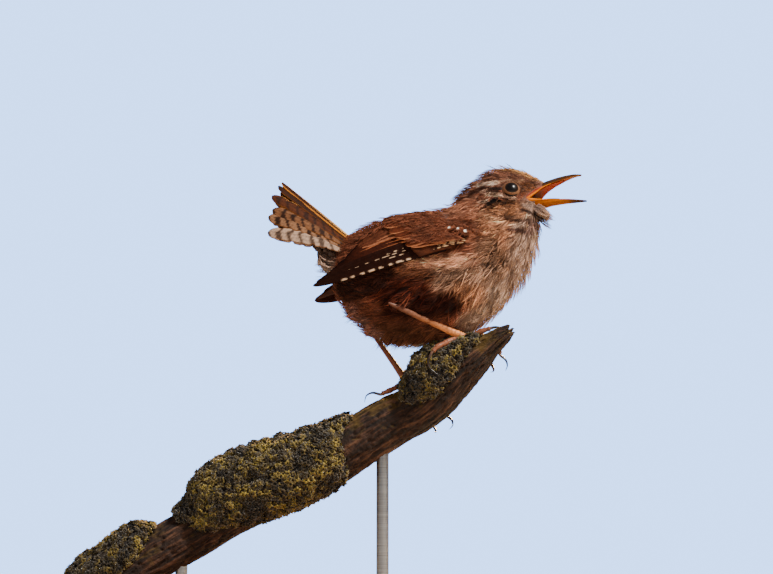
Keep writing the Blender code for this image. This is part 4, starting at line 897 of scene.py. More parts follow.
# Families: count, first and last root (x, z), first and last tip, half width, first and last lift, bow,
# ground colour, bar colour, bar spacing, colour of the notches of the outer edge, and depth of the bars.
# Where the bars are faint the outer edge is pale all along.
RUFOUS, DUSKY, CREAM = (0.2, 0.062, 0.03), (0.02, 0.007, 0.005), (0.85, 0.58, 0.38)
FAINT_BARS = 0.3
WING_FAMILIES = {
    "long_primary": (2, (33.0, 100.9), (31.0, 101.2), (14.0, 96.0), (6.0, 94.6), 1.1, 0.05, 0.2, 0.1, (0.018, 0.005, 0.003), DUSKY, 3.0, CREAM, 0.6),
    "primary": (5, (32.0, 101.2), (26.0, 103.0), (-4.4, 90.9), (0.2, 94.4), 1.45, 0.3, 0.95, 0.3, (0.018, 0.005, 0.003), DUSKY, 2.5, CREAM, 0.6),
    "secondary": (6, (27.0, 102.8), (23.0, 106.6), (0.4, 94.2), (6.6, 100.0), 1.45, 1.0, 1.5, 1.1, (0.05, 0.012, 0.006), DUSKY, 1.7, (0.42, 0.13, 0.05), 0.28),
    "tertial": (4, (24.0, 105.8), (22.0, 108.6), (7.2, 100.6), (11.6, 103.6), 1.6, 1.6, 1.85, 0.7, (0.11, 0.033, 0.016), DUSKY, 1.5, (0.34, 0.125, 0.06), 0.28),
    "primary_covert": (5, (34.0, 101.4), (32.5, 102.8), (22.4, 98.6), (20.4, 100.6), 1.2, 1.1, 1.4, 0.4, (0.07, 0.02, 0.009), DUSKY, 3.2, (0.4, 0.19, 0.09), 0.5),
    "greater_covert": (9, (32.6, 102.6), (24.6, 108.2), (20.6, 100.2), (14.0, 106.4), 1.4, 2.0, 2.3, 0.3, (0.1, 0.024, 0.01), DUSKY, 1.7, (0.42, 0.15, 0.065), 0.28),
    "median_covert": (8, (35.4, 103.6), (28.6, 108.8), (26.8, 101.6), (20.4, 107.2), 1.3, 2.35, 2.65, 0.2, (0.12, 0.034, 0.016), DUSKY, 2.0, (0.42, 0.16, 0.08), 0.28),
    "alula": (3, (36.8, 102.6), (36.4, 103.4), (26.4, 100.0), (27.6, 101.0), 0.9, 1.9, 2.2, 0.2, (0.04, 0.012, 0.007), DUSKY, 1.9, (0.6, 0.34, 0.17), 0.5),
    "dotted_covert": (3, (33.0, 105.9), (37.2, 104.7), (30.5, 105.2), (34.7, 104.0), 0.42, 3.6, 3.6, 0.0, (0.2, 0.062, 0.03), DUSKY, 9.0, RUFOUS, 0.28),
}
DOT = 0.6
FAR_HALF = 2.1
ARCH, FLAT_ARCH = 0.28, 0.05
# The notches show along two of the long feathers, and along two more only between these two places.
NOTCHED, NOTCHED_SHORT = (("primary", 0), ("primary", 3)), (("primary", 2), ("primary", 4))
NOTCHED_FROM, NOTCHED_TO = 14.8, 21.4
TIP_STRAY = {"greater_covert": 0.7, "median_covert": 0.6, "tertial": 0.4}
TIP_SHAPE = {"primary": 0.34, "secondary": 0.3, "greater_covert": 0.24, "median_covert": 0.26, "tertial": 0.2}
BARE_TIP = {-1: 3.0, 1: 12.0}
SCAPULARS = (1.25, 6.2, 1.5, 11, 4, 0.19, 0.55, 0.1, 0.2, 0.2)
SHOULDER = (0.95, 3.6, 1.05, 9, 4, 0.18, 0.8, 0.12, 0.24, 0.2)


def wing_point(side, x, z, lift):
    """Points on the outside of the folded wing, which curves in towards the back."""
    out = smooth_rows(WING, np.interp(x, WING[:, 0], np.arange(len(WING))))[..., 3]
    bend = np.sqrt(np.maximum(0.05, 1 - ((z - WING_MIDDLE) / WING_TALL) ** 2))
    droop = WING_DROP[side] * ease(30 - x, 0, 30)
    return np.stack([x, side * (out * bend + lift), z - droop], -1)


def vane_outline(part, random, root=0.45, tip=0.1, ragged=0.0):
    """The width of a vane along its length, with splits between its barbs."""
    wide = (root + (1 - root) * ease(part, 0, 0.3)) * np.sqrt(np.clip(1 - ((part - (1 - tip)) / tip).clip(0) ** 2, 0.004, 1))
    for place in random.uniform(0.35, 1.0, int(2 + 8 * ragged)):
        depth = random.uniform(0.06, 0.16 + 0.4 * ragged)
        wide = wide * (1 - depth * np.clip(1 - np.abs(part - place) / 0.022, 0, 1))
    return wide


def bar_tints(along, across, ground, bar, spacing, notch, random, depth=0.75, notched=1.0):
    """Colours of a vane: ground with bars across it, and notches on its outer edge between them."""
    phase = random.uniform(0, 1)
    slant = along - 0.9 * np.abs(across) + 0.25 * np.sin(along * 1.7 + across * 3)
    wave = 0.5 + 0.5 * np.sin(2 * math.pi * (slant / spacing + phase))
    dark = (depth * ease(wave, 0.55, 0.8))[..., None]
    gaps = 1.0 if depth < FAINT_BARS else ease(1 - wave, 0.4, 0.65)
    inner = 0.56 if depth >= FAINT_BARS else 0.72
    outer = 0.88 if depth >= FAINT_BARS else 1.2
    pale = (ease(across, inner, inner + 0.14) * (1 - ease(across, outer, outer + 0.1)) * gaps * notched)[..., None]
    line = 0.45 * (np.abs(across) < 0.1) + 0.3 * ease(np.sin(along * 9 + across * 7), 0.3, 0.9)
    line = (line + 0.4 * ease(np.sin(across * 13 + phase * 6), 0.2, 0.9))[..., None]
    shade = np.exp(random.normal(0, 0.1))
    colour = np.array(ground) * shade * (1 - dark) + np.array(bar) * dark
    colour = colour * (1 - pale) + np.array(notch) * pale
    rim_shade = 0.5 * ease(np.abs(across), 0.82, 1.0) if depth >= FAINT_BARS else 0.7 * ease(-across, 0.1, 0.9)
    rim = np.asarray(rim_shade)[..., None]
    return colour * (1 - rim) * (1 - 0.5 * line * (1 - pale))


def vanes_piece(name, vanes, finish):
    """One mesh of closed vanes. A vane is its middle surface, outward normals, thickness and tints."""
    points, faces, tints, unwrap, base = [], [], [], [], 0
    columns = math.ceil(math.sqrt(len(vanes)))
    for number, (surface, normals, thick, tint) in enumerate(vanes):
        rows, wide = surface.shape[:2]
        v = np.linspace(-1, 1, wide)
        depth = (thick * (1 - 0.75 * v ** 2))[None, :, None] * np.ones((rows, 1, 1))
        top, low = surface + normals * depth / 2, surface - normals * depth / 2
        points.append(np.concatenate([top.reshape(-1, 3), low.reshape(-1, 3)]))
        i, j = np.meshgrid(np.arange(rows - 1), np.arange(wide - 1), indexing="ij")
        a = (i * wide + j).ravel()
        upper = np.stack([a, a + 1, a + wide + 1, a + wide], -1)
        lower = upper[:, ::-1] + rows * wide
        rim = np.concatenate([
            np.arange(wide), np.arange(1, rows) * wide + wide - 1,
            (rows - 1) * wide + np.arange(wide - 2, -1, -1), np.arange(rows - 2, 0, -1) * wide,
        ])
        after = np.roll(rim, -1)
        edge = np.stack([after, rim, rim + rows * wide, after + rows * wide], -1)
        faces.append(np.concatenate([upper, lower, edge]) + base)
        tints.append(np.tile(tint.reshape(-1, 3), (2, 1)))
        u, w = np.meshgrid(np.linspace(0.04, 0.96, rows), np.linspace(0.06, 0.94, wide), indexing="ij")
        cell = np.array(divmod(number, columns))
        for half in (0, 0.5):
            unwrap.append((np.stack([(w + 0) * 0.5 + half, u], -1).reshape(-1, 2) + cell) / columns)
        base += 2 * rows * wide
    piece = new_piece(name, np.concatenate(points), np.concatenate(faces), finish)
    face_outwards(piece)
    set_tints(piece.data, np.concatenate(tints))
    corners = np.empty(len(piece.data.loops), int)
    piece.data.loops.foreach_get("vertex_index", corners)
    layer = piece.data.uv_layers.new(name="OFBake")
    layer.data.foreach_set("uv", np.concatenate(unwrap)[corners].ravel())
    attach(piece, "root")
    return piece


def vane_surface(place, length, half, outline, camber, random):
    """A vane's middle surface. place(along, across, lift) gives points; along runs from 0 to 1."""
    rows = max(12, int(length / VANE_STEP))
    part = np.linspace(0, 1, rows)
    wide = outline(part)
    v = np.linspace(-1, 1, VANE_ACROSS + 1)
    across = half * wide[:, None] * v[None]
    ridge = camber * (1 - v[None] ** 2) + 0.07 * (np.abs(v[None]) < 0.1)
    backwards = 0.5 * half * v[None] ** 2 / length * np.minimum(1, 4 * (1 - part[:, None]))
    surface = place(part[:, None] - backwards * 0.5, across, ridge + 0 * across)
    ahead = np.gradient(surface, axis=0)
    aside = np.gradient(surface, axis=1)
    return surface, unit(np.cross(ahead, aside)), part * length, v


feather_finish = tinted_finish("flight_feather", 0.6, 1800.0, 0.22, Specular_IOR_Level=0.05)


def wing_feathers(side, random):
    vanes = []
    for family, settings in WING_FAMILIES.items():
        number, root_a, root_b, tip_a, tip_b, half, lift_a, lift_b, bow, ground, bar, spacing, notch, depth = settings
        for k in range(number):
            share = k / max(number - 1, 1)
            root, tip = np.array(root_a) * (1 - share) + np.array(root_b) * share, np.array(tip_a) * (1 - share) + np.array(tip_b) * share
            tip = tip + random.normal(0, TIP_STRAY[family], 2) if family in TIP_STRAY else tip + random.normal(0, 0.2, 2)
            lift = lift_a + (lift_b - lift_a) * share
            fall = 0.1 if "covert" in family else 0.35
            if family == "primary" and side > 0:
                half = FAR_HALF
            length = float(np.linalg.norm(tip - root))
            heading = (tip - root) / length
            crosswise = np.array((-heading[1], heading[0])) * -1

            def place(part, across, ridge):
                part = part + 0 * across
                middle = root + (tip - root) * part[..., None] + np.array((0, bow)) * np.sin(math.pi * part)[..., None]
                flat = middle - crosswise * across[..., None]
                sunk = 1 - ease(part, 0.0, 0.3)
                rise = lift * (1 - fall * part) * (1 - sunk) - 0.6 * sunk
                return wing_point(side, flat[..., 0], flat[..., 1], rise + ridge)

            surface, normals, along, v = vane_surface(
                place, length, half, lambda part: vane_outline(part, random, 0.5, TIP_SHAPE.get(family, 0.1) if side < 0 else 0.26),
                ARCH if "primary" in family else FLAT_ARCH, random,
            )
            if (normals[len(normals) // 2, VANE_ACROSS // 2] * (0, side, 0)).sum() < 0:
                normals = -normals
            from_tip = along[-1] - along
            x = surface[..., 0]
            notched = ease(x, BARE_TIP[side], BARE_TIP[side] + 0.6) * (1 - ease(x, NOTCHED_TO, NOTCHED_TO + 1))
            if (family, k) in NOTCHED_SHORT:
                notched = notched * ease(x, NOTCHED_FROM, NOTCHED_FROM + 0.6)
            elif (family, k) not in NOTCHED:
                notched = 0.0 * x
            if "primary" not in family:
                notched = 1.0
            from_tip, grid_v = from_tip[:, None] + 0 * v, np.tile(v, (len(along), 1))
            tint = bar_tints(from_tip, grid_v, ground, bar, spacing, notch, random, depth, notched)
            if family == "primary" and side > 0:
                tint = tint * 3.2
            if family == "secondary":
                tint = tint * (0.4 + 0.6 * ease(x, 3.0, 9.5))[..., None]
            if family == "dotted_covert":
                white = ((1 - ease(from_tip, DOT, DOT + 0.2)) * (1 - ease(np.abs(grid_v), 0.8, 1.0)))[..., None]
                tint = tint * (1 - white) + np.array((0.95, 0.9, 0.8)) * white
            vanes.append((surface, normals, VANE_THICK, tint))
    return vanes


for side_name, side in SIDES.items():
    random = np.random.default_rng(70 + side)
    rows = smooth_rows(WING, np.linspace(0.4, len(WING) - 1, 40))
    inset = 0.06 * (rows[:, 2] - rows[:, 1])
    share = np.linspace(0, 1, 14)
    heights = (rows[:, 1] + inset)[:, None] * (1 - share) + (rows[:, 2] - inset)[:, None] * share
    fill = (-0.3 + 0.8 * ease(rows[:, 0], 18, 26) - 3.4 * ease(rows[:, 0], 27.0, 36.0))[:, None]
    outer = wing_point(side, rows[:, :1] + 0 * heights, heights, fill + 0 * heights)
    depth = np.minimum(3.2, 0.8 + 0.14 * (np.arange(40) + 1))[:, None, None] * np.array((0, side, 0))
    core = closed_loft(f"wing_{side_name}_core", np.concatenate([outer, (outer - depth)[:, ::-1]], 1), skin_finish)
    set_tints(core.data, np.tile((0.06, 0.018, 0.009), (len(core.data.vertices), 1)))
    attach(core, "root")
    wing = vanes_piece(f"wing_{side_name}_feathers", wing_feathers(side, random), feather_finish)
    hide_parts(f"wing_{side_name}")
    wing_tree = tree_from(core, wing, skin)
    for name, tract, box, slant in (
        ("shoulder", SHOULDER, ((22.5, 102.2), (38.5, 110.5)), -0.25),
        ("scapulars", SCAPULARS, ((9.0, 106.2), (33.0, 112.0)), -0.3),
    ):
        spots = box[0] + random.random((9000, 2)) * np.subtract(box[1], box[0])
        if name == "scapulars":
            spots = spots[spots[:, 1] > 105.6 + 2.4 * ease(spots[:, 0], 9, 20) - 1.0 * ease(spots[:, 0], 22, 33)]
        guesses = wing_point(side, spots[:, 0], spots[:, 1], 3.0)
        places, normals = drape(wing_tree, guesses)
        kept = keep_apart(places, tract[0])
        roots, normals = places[kept], normals[kept]
        normals = normals * np.where((normals * (guesses[kept] - roots)).sum(1) < 0, -1.0, 1.0)[:, None]
        lies = np.tile((-1.0, 0.0, slant), (len(roots), 1))
        lies = unit(lies - normals * (lies * normals).sum(1)[:, None])
        corner = np.stack([0.85 + 0.1 * roots[:, 0] / 40, 0.4 + 0.3 * (side > 0) + 0.25 * (roots[:, 2] - 96) / 16], -1)
        if name == "scapulars":
            corner = body_corner(roots)
        fans = feather_fans(roots, normals, lies, tract, random, corner, wing_tree)
        piece = blade_piece(f"feathers_{name}_{side_name}", *fans, plumage_finish)
        print(name, side_name, len(roots))

# The tail, cocked up and half spread: twelve feathers in an arched fan, the middle pair on top, each
# barred across, with the short coverts that cover their roots above and below.
TAIL_ROOT = np.array((8.6, 0.0, 100.1))
TAIL_COCK = math.radians(139)
TAIL_ARCH_WIDE, TAIL_ARCH_DEEP, TAIL_ARCH_TURN = 6.6, 11.0, 8.5
TAIL_FAN = {-1: (5.6, 8.6, 14.4, 19.4, 22.2, 28.4), 1: (5.2, 9.6, 13.2, 18.2, 20.6, 25.6)}
TAIL_LENGTHS = {-1: (28.9, 29.0, 28.8, 26.8, 26.8, 25.2), 1: (29.3, 28.8, 29.2, 27.8, 27.0, 25.6)}
TAIL_HALF = 1.75
TAIL_GROUND = (
    (0.03, 0.007, 0.002), (0.032, 0.008, 0.002), (0.06, 0.016, 0.005),
    (0.17, 0.07, 0.03), (0.2, 0.095, 0.048), (0.4, 0.26, 0.18),
)
TAIL_BARS = (0.5, 0.6, 0.8, 0.95, 0.95, 0.85)
TAIL_BAR = (0.016, 0.006, 0.004)
UPPER_COVERTS = 9
UNDER_COVERTS = 9
UNDER_TAIL, UNDER_BAR = (0.4, 0.26, 0.19), (0.08, 0.03, 0.018)


def on_tail(side, along, across, lift):
    """Points of the arched fan: along the tail from its root, across it, and above its upper face."""
    axis = np.array((math.cos(TAIL_COCK), 0.0, math.sin(TAIL_COCK)))
    upper = np.array((math.sin(TAIL_COCK), 0.0, -math.cos(TAIL_COCK)))
    turn = across / TAIL_ARCH_TURN
    out = TAIL_ARCH_WIDE * np.sin(turn)
    down = TAIL_ARCH_DEEP * (1 - np.cos(turn))
    level = lift - down
    return (
        TAIL_ROOT + along[..., None] * axis + level[..., None] * upper
        + (side * out)[..., None] * np.array((0.0, 1.0, 0.0))
    )


random = np.random.default_rng(90)
vanes = []
for side in (1, -1):
    for k in reversed(range(len(TAIL_GROUND))):
        fan, length = math.radians(TAIL_FAN[side][k]), TAIL_LENGTHS[side][k]
        lift = 1.3 - 0.34 * k + (0.35 if side > 0 else 0.0)

        def place(part, across, ridge):
            part = part + 0 * across
            along = length * part * math.cos(fan) - across * math.sin(fan)
            out = 0.3 + TAIL_FAN[side][k] * 0.06 + length * part * math.sin(fan) + across * math.cos(fan)
            return on_tail(side, along, out, lift + ridge)

        ragged = 0.02 + 0.1 * k
        surface, normals, along, v = vane_surface(
            place, length, TAIL_HALF, lambda part: vane_outline(part, random, 0.5, 0.1, ragged) * (1.1 - 0.35 * ease(part, 0.4, 1.0)), 0.3, random
        )
        from_tip = along[-1] - along
        grid_v = np.tile(v, (len(along), 1))
        tint = bar_tints(from_tip[:, None] + 0 * v, -grid_v, TAIL_GROUND[k], TAIL_BAR, 2.7, TAIL_GROUND[k], random, TAIL_BARS[k], 0.0)
        # Painted highlight: the edges of each tail feather are lightened to a warm gold, most of all on the top pair.
        # This stands for the rim light along the tail's top edge.
        painted_rim_light = (ease(np.abs(grid_v), 0.82 if k else 0.66, 1.0) * (0.5 if k else 0.95))[..., None]
        tint = tint * (1 - painted_rim_light) + np.array((0.3, 0.1, 0.02) if k else (0.62, 0.21, 0.02)) * painted_rim_light
        vanes.append((surface, normals, VANE_THICK * 1.4, tint))
tail = vanes_piece("tail_feathers", vanes, feather_finish)
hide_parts("tail")

vanes = []
for count, lift, swell, low_tip, high_tip, ground, bar in (
    (UPPER_COVERTS, 0.9, 0.0, 2.4, 5.0, (0.12, 0.03, 0.012), DUSKY),
    (UNDER_COVERTS, -2.9, 0.8, 8.0, 12.0, UNDER_TAIL, UNDER_BAR),
    (UNDER_COVERTS, -3.8, 1.5, 8.0, 11.5, UNDER_TAIL, UNDER_BAR),
    (UNDER_COVERTS, -4.6, 2.1, 7.5, 10.5, UNDER_TAIL, UNDER_BAR),
):
    for k in range(count):
        share = k / (count - 1) * 2 - 1
        under = lift < 0
        length = high_tip - (high_tip - low_tip) * abs(share) ** 1.4 + random.normal(0, 0.6)
        side = 1 if share > 0 else -1
        start = 1.0 + abs(share) if under else 0.3
        spread = 4.6 * abs(share)
        half = 2.0

        def place(part, across, ridge):
            part = part + 0 * across
            along = start + length * part
            outwards = spread * (0.55 + 0.6 * part) + across
            sunk = (1.6 if under else -1.2) * (1 - ease(part, 0, 0.35))
            level = lift * (1 + 0.1 * (k % 2)) - swell * np.sin(math.pi * part) + sunk
            return on_tail(side, along, outwards, level + ridge * (-1 if under else 1))

        surface, normals, along, v = vane_surface(
            place, length, half, lambda part: vane_outline(part, random, 0.5, 0.3, 1.0), 0.3, random
        )
        from_tip = along[-1] - along
        tint = bar_tints(from_tip[:, None] + 0 * v, np.tile(v, (len(along), 1)), ground, bar, 2.6, ground, random, 0.6, 0.0)
        tint = tint * np.exp(random.normal(0, 0.25))
        vanes.append((surface, normals, VANE_THICK, tint))
vanes_piece("tail_coverts", vanes, feather_finish)

# The bill: two slender horn halves, wide open, dark above and on their tips and yellow-orange along
# the edges, with the orange gape, the lining of the mouth and the tongue between them. A row is x,
# ridge, cutting edge and half width in the head's axes.
BILL_TIP = 20.4
UPPER_BILL = np.array([
    (7.2, -0.4, -2.5, 3.3),
    (8.6, 0.9, -1.2, 3.1),
    (10.2, 2.1, 0.1, 2.6),
    (13.0, 3.1, 1.5, 1.75),
    (16.0, 3.8, 2.65, 1.1),
    (18.5, 4.1, 3.4, 0.66),
    (BILL_TIP, 3.95, 3.6, 0.25),
])
LOWER_BILL = np.array([
    (7.2, -5.0, -3.1, 3.2),
    (8.8, -4.9, -3.05, 2.9),
    (10.5, -4.55, -3.0, 2.4),
    (13.0, -4.1, -2.8, 1.6),
    (16.5, -3.8, -2.75, 1.0),
    (19.3, -3.7, -2.95, 0.6),
    (BILL_TIP + 1.5, -3.6, -3.25, 0.25),
])
NOSTRIL = (11.2, 1.75, 2.05)
HORN_DARK, HORN_YELLOW, HORN_ORANGE = (0.045, 0.02, 0.01), (0.34, 0.085, 0.0005), (0.17, 0.012, 0.0005)
GAPE = (
    ((6.7, 4.5, -3.15), (7.5, 3.9, -2.3), (8.9, 3.05, -1.0), (10.6, 2.5, 0.35), (12.6, 1.85, 1.4)),
    ((6.7, 4.5, -3.15), (7.6, 3.9, -3.2), (9.2, 2.9, -3.1), (11.0, 2.3, -3.0), (12.8, 1.65, -2.85)),
)
GAPE_RADII = np.array((0.3, 0.42, 0.3, 0.18, 0.08))
TONGUE = np.array([
    (8.0, -2.75, 0.95, 0.3),
    (10.0, -2.5, 0.9, 0.3),
    (12.5, -2.35, 0.6, 0.22),
    (14.6, -2.35, 0.2, 0.1),
])
horn_finish = tinted_finish("bill_horn", 0.42, 900.0, 0.14, Specular_IOR_Level=0.06)
gape_finish = tinted_finish("gape_skin", 0.5, 1400.0, 0.18, Specular_IOR_Level=0.04)


def own_piece(obj, tints, slot, *nodes):
    """Gives a finished piece its tints, hangs it from the root and hides the imported nodes that it stands for. The
    slot is not used.
    """
    set_tints(obj.data, np.asarray(tints) + np.zeros((len(obj.data.vertices), 3)))
    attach(obj, "root")
    if nodes:
        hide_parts(*nodes)


def blend_tints(first, second, share):
    share = np.asarray(share)[..., None]
    return np.asarray(first) * (1 - share) + np.asarray(second) * share


for name, table, sign in (("upper", UPPER_BILL, 1), ("lower", LOWER_BILL, -1)):
    rows = smooth_rows(table, np.linspace(0, len(table) - 1, 64))
    turn = np.linspace(0, math.pi, 33)
    back = np.linspace(math.pi, 0, 17)[1:-1]
    x, ridge, edge, half = (rows[:, i:i + 1] for i in range(4))
    rise = np.sin(turn).clip(0) ** 0.8
    keel = 1 + 0.05 * (rise > 0.97)
    outer = np.stack([x + 0 * turn, half * np.cos(turn), edge + (ridge - edge) * rise * keel], -1)
    hollow = 0.45 * ease(BILL_TIP - x, 2.0, 8.0)
    inner = np.stack([x + 0 * back, half * 0.72 * np.cos(back), edge + (ridge - edge) * hollow * np.sin(back)], -1)
    rings = np.concatenate([outer, inner], 1)
    if name == "upper":
        for side in (-1, 1):
            away = np.linalg.norm((rings - (NOSTRIL[0], side * NOSTRIL[1], NOSTRIL[2])) / (1.0, 1.0, 0.6), axis=-1)
            rings = rings - (1 - ease(away, 0.1, 0.62))[..., None] * np.array((0, side * 0.45, 0.0))
    piece = closed_loft(f"bill_{name}_horn", from_head(rings), horn_finish)
    up_side = np.concatenate([rise, np.zeros(len(back))])[None] + 0 * x
    # On the lower half, the underside is darkened by up to 0.35 as painted shade. The upper half's dark ridge is its
    # own colour.
    dark = ease(up_side, 0.0, 0.14) if name == "upper" else ease(up_side, 0.55, 1.0) * 0.35
    dark = np.maximum(dark, ease(x + 0 * up_side, 13.5 if name == "upper" else 15.0, 19.5) * (0.55 + 0.45 * (up_side > 0.25)))
    tint = blend_tints(HORN_YELLOW, HORN_DARK, dark)
    inside = np.concatenate([np.zeros(len(turn)), np.ones(len(back))])[None] * (1 - ease(x, 14.0, 19.0))
    tint = blend_tints(tint, HORN_ORANGE, inside)
    if name == "upper":
        for side in (-1, 1):
            hole = np.linalg.norm((rings - (NOSTRIL[0], side * NOSTRIL[1], NOSTRIL[2])) / (1.0, 1.0, 0.6), axis=-1)
            tint = blend_tints(tint, (0.01, 0.006, 0.005), 1 - ease(hole, 0.4, 0.8))
    ends = np.stack([tint[0].mean(0), tint[-1].mean(0)])
    own_piece(piece, np.concatenate([tint.reshape(-1, 3), ends]), "bill_horn", f"bill_{name}")

gape_tubes = []
for side in (-1, 1):
    for line in GAPE:
        path = curve_through(np.array(line) * (1, side, 1), 26)
        radii = smooth_rows(GAPE_RADII, np.linspace(0, len(GAPE_RADII) - 1, 26))
        gape_tubes.append(tube_rings(from_head(path), radii, 12))
for number, rings in enumerate(gape_tubes):
    piece = closed_loft(f"gape_fold_{number}", rings, gape_finish)
    own_piece(piece, (0.5, 0.13, 0.001), "bill_horn")

for name, profile in (
    ("palate", ((7.0, -3.0, 3.6), (8.6, -1.35, 2.9), (10.4, -0.05, 2.4), (13.0, 1.35, 1.6), (15.5, 2.35, 1.0))),
    ("mouth_floor", ((7.0, -3.05, 3.6), (8.8, -3.12, 2.75), (10.5, -3.08, 2.25), (13.0, -2.95, 1.45), (15.0, -2.95, 1.0))),
):
    rows = curve_through(profile, 30)
    turn = np.linspace(0, 2 * math.pi, 24, endpoint=False)
    arch = 0.25 if name == "palate" else -0.25
    rings = np.stack([
        rows[:, :1] + 0 * turn, rows[:, 2:] * np.cos(turn),
        rows[:, 1:2] + 0.16 * np.sin(turn) + arch * np.sin(turn) ** 2,
    ], -1)
    piece = closed_loft(name, from_head(rings), gape_finish)
    # The lining darkens from the front of the mouth towards the throat, as painted shade deep in the mouth.
    depth = ease(to_head(layout_points(piece))[:, 0], 7.2, 11.5)
    own_piece(piece, blend_tints((0.035, 0.003, 0.001), (0.22, 0.016, 0.0004), depth), "bill_horn")
rows = smooth_rows(TONGUE, np.linspace(0, len(TONGUE) - 1, 30))
turn = np.linspace(0, 2 * math.pi, 20, endpoint=False)
rings = np.stack([rows[:, :1] + 0 * turn, rows[:, 2:3] * np.cos(turn), rows[:, 1:2] + rows[:, 3:] * np.sin(turn)], -1)
own_piece(closed_loft("tongue", from_head(rings), gape_finish), (0.26, 0.035, 0.001), "bill_horn")

# The eyes: glossy dark globes set in the head, each between soft bare lids with a pale rim, which
# leave an opening a little longer than high.
EYE_RADIUS = 2.35
EYE_OPENING = (1.72, 1.46)
PUPIL = 1.05
LID_PROFILE = ((0.0, -0.2), (0.01, 0.06), (0.1, 0.13), (0.24, 0.12), (0.42, 0.0), (0.75, -0.3), (1.1, -0.75), (0.7, -0.8), (0.25, -0.5))
eye_finish = tinted_finish("eye", 0.3, 3000.0, 0.2, Specular_IOR_Level=0.2, Coat_Weight=0.18, Coat_Roughness=0.04)
lid_finish = tinted_finish("eyelid", 0.7, 4000.0, 0.3, Specular_IOR_Level=0.08)
for side_name in LEGS:
    middle = eye_middle(side_name)
    outward = unit(np.array(skin_tree.find_nearest(middle.tolist())[1]))
    forward = unit(from_head((1.0, 0.0, 0.0)) - from_head((0.0, 0.0, 0.0)))
    forward = unit(forward - outward * forward.dot(outward))
    upward = np.cross(outward, forward)
    upward = upward if upward[2] > 0 else -upward
    polar = np.linspace(0.0, math.pi, 50)[1:-1, None]
    round_it = np.linspace(0, 2 * math.pi, 64, endpoint=False)[None]
    ball = (
        np.cos(polar)[..., None] * outward
        + (np.sin(polar) * np.cos(round_it))[..., None] * forward
        + (np.sin(polar) * np.sin(round_it))[..., None] * upward
    )
    globe = closed_loft(f"eye_{side_name}_globe", middle + ball * EYE_RADIUS, eye_finish)
    off_axis = np.linalg.norm(np.cross(layout_points(globe) - middle, outward), axis=1)
    iris = blend_tints((0.004, 0.003, 0.003), (0.01, 0.005, 0.003), ease(off_axis, PUPIL, PUPIL + 0.15))
    own_piece(globe, iris, "eye_dark", f"eye_{side_name}")
    rings = []
    for angle in np.linspace(0, 2 * math.pi, 72, endpoint=False):
        way = forward * math.cos(angle) + upward * math.sin(angle)
        reach = EYE_OPENING[0] * EYE_OPENING[1] / math.hypot(EYE_OPENING[1] * math.cos(angle), EYE_OPENING[0] * math.sin(angle))
        ring = []
        for out, lift in LID_PROFILE:
            distance = reach + out
            level = math.sqrt(max(EYE_RADIUS ** 2 - min(distance, 2.2) ** 2, 0.3))
            ring.append(middle + way * distance + outward * (level + lift))
        rings.append(ring)
    rings = np.array(rings)
    count, wide = rings.shape[:2]
    faces = loft_faces(count + 1, wide) % (count * wide)
    lid = new_piece(f"eyelids_{side_name}", rings.reshape(-1, 3), faces, lid_finish)
    face_outwards(lid)
    rim = np.tile(np.array([0, 0.35, 1, 1, 1, 1, 1, 1, 1]), count)
    own_piece(lid, blend_tints((0.01, 0.005, 0.003), (0.2, 0.09, 0.045), rim), "crown_plumage")

# The legs and feet: slim bare shanks with broad scutes in front, and four padded toes on each foot,
# three ahead and one behind, that grip the bark with thin curved claws. Points run from the ankle. The right one shows from a little above its heel.
TOE_RADIUS, CLAW_RADIUS = 0.72, 0.44
SHANK_RADII = np.array((0.62, 0.64, 0.66, 0.7, 0.73, 0.77, 0.84, 0.95, 1.08))
SCUTE = 1.25
SHANK_FROM = {"right": -0.1, "left": -0.03}
HEEL_OUT = {"right": 1.7, "left": 0.0}
TOES = {
    "right": {
        "hind": (
            ((30.6, -6.4, 76.5), (28.2, -7.2, 75.3), (26.9, -7.6, 74.0)),
            ((25.6, -8.0, 71.3), (26.3, -8.2, 69.4), (28.2, -8.2, 67.8)),
        ),
        "inner": (
            ((36.4, -5.9, 78.2), (39.7, -6.8, 79.4), (41.7, -7.3, 80.0)),
            ((43.2, -7.7, 80.3), (44.1, -8.0, 80.2), (44.7, -8.2, 79.6)),
        ),
        "middle": (
            ((36.6, -3.9, 78.6), (38.9, -2.4, 78.9), (41.6, -1.9, 78.2), (43.7, -2.0, 76.2), (44.5, -2.5, 74.0)),
            ((45.9, -2.9, 72.3), (46.3, -3.1, 70.8), (45.8, -3.4, 69.4)),
        ),
        "outer": (
            ((35.4, -2.4, 78.6), (36.8, 0.7, 77.7), (39.4, 1.9, 75.3), (41.4, 1.0, 72.9), (42.3, -0.3, 71.4)),
            ((42.8, -2.2, 69.9), (42.5, -3.2, 69.2), (41.8, -4.1, 69.0)),
        ),
    },
    "left": {
        "hind": (
            ((18.0, 4.0, 66.1), (15.6, 3.5, 64.9), (13.7, 3.1, 64.1)),
            ((11.2, 2.8, 64.3), (9.6, 2.6, 63.5), (9.1, 2.4, 61.7)),
        ),
        "inner": (
            ((22.1, 5.7, 67.8), (25.5, 7.2, 68.1), (29.1, 7.5, 68.0), (31.2, 7.1, 68.2)),
            ((33.6, 6.6, 68.7), (34.9, 6.0, 68.4), (35.6, 5.1, 67.7)),
        ),
        "middle": (
            ((22.6, 7.7, 66.3), (26.6, 9.9, 63.4), (29.9, 8.7, 60.1), (31.0, 6.6, 58.5)),
            ((32.1, 4.8, 57.2), (32.2, 3.9, 55.8), (31.3, 3.3, 54.7)),
        ),
        "outer": (
            ((21.2, 7.6, 66.0), (22.6, 10.3, 64.3), (24.4, 11.0, 61.3), (26.1, 10.3, 58.2), (26.9, 9.2, 56.7)),
            ((27.8, 7.0, 54.9), (27.8, 5.8, 54.2), (27.3, 4.7, 54.2)),
        ),
    },
}
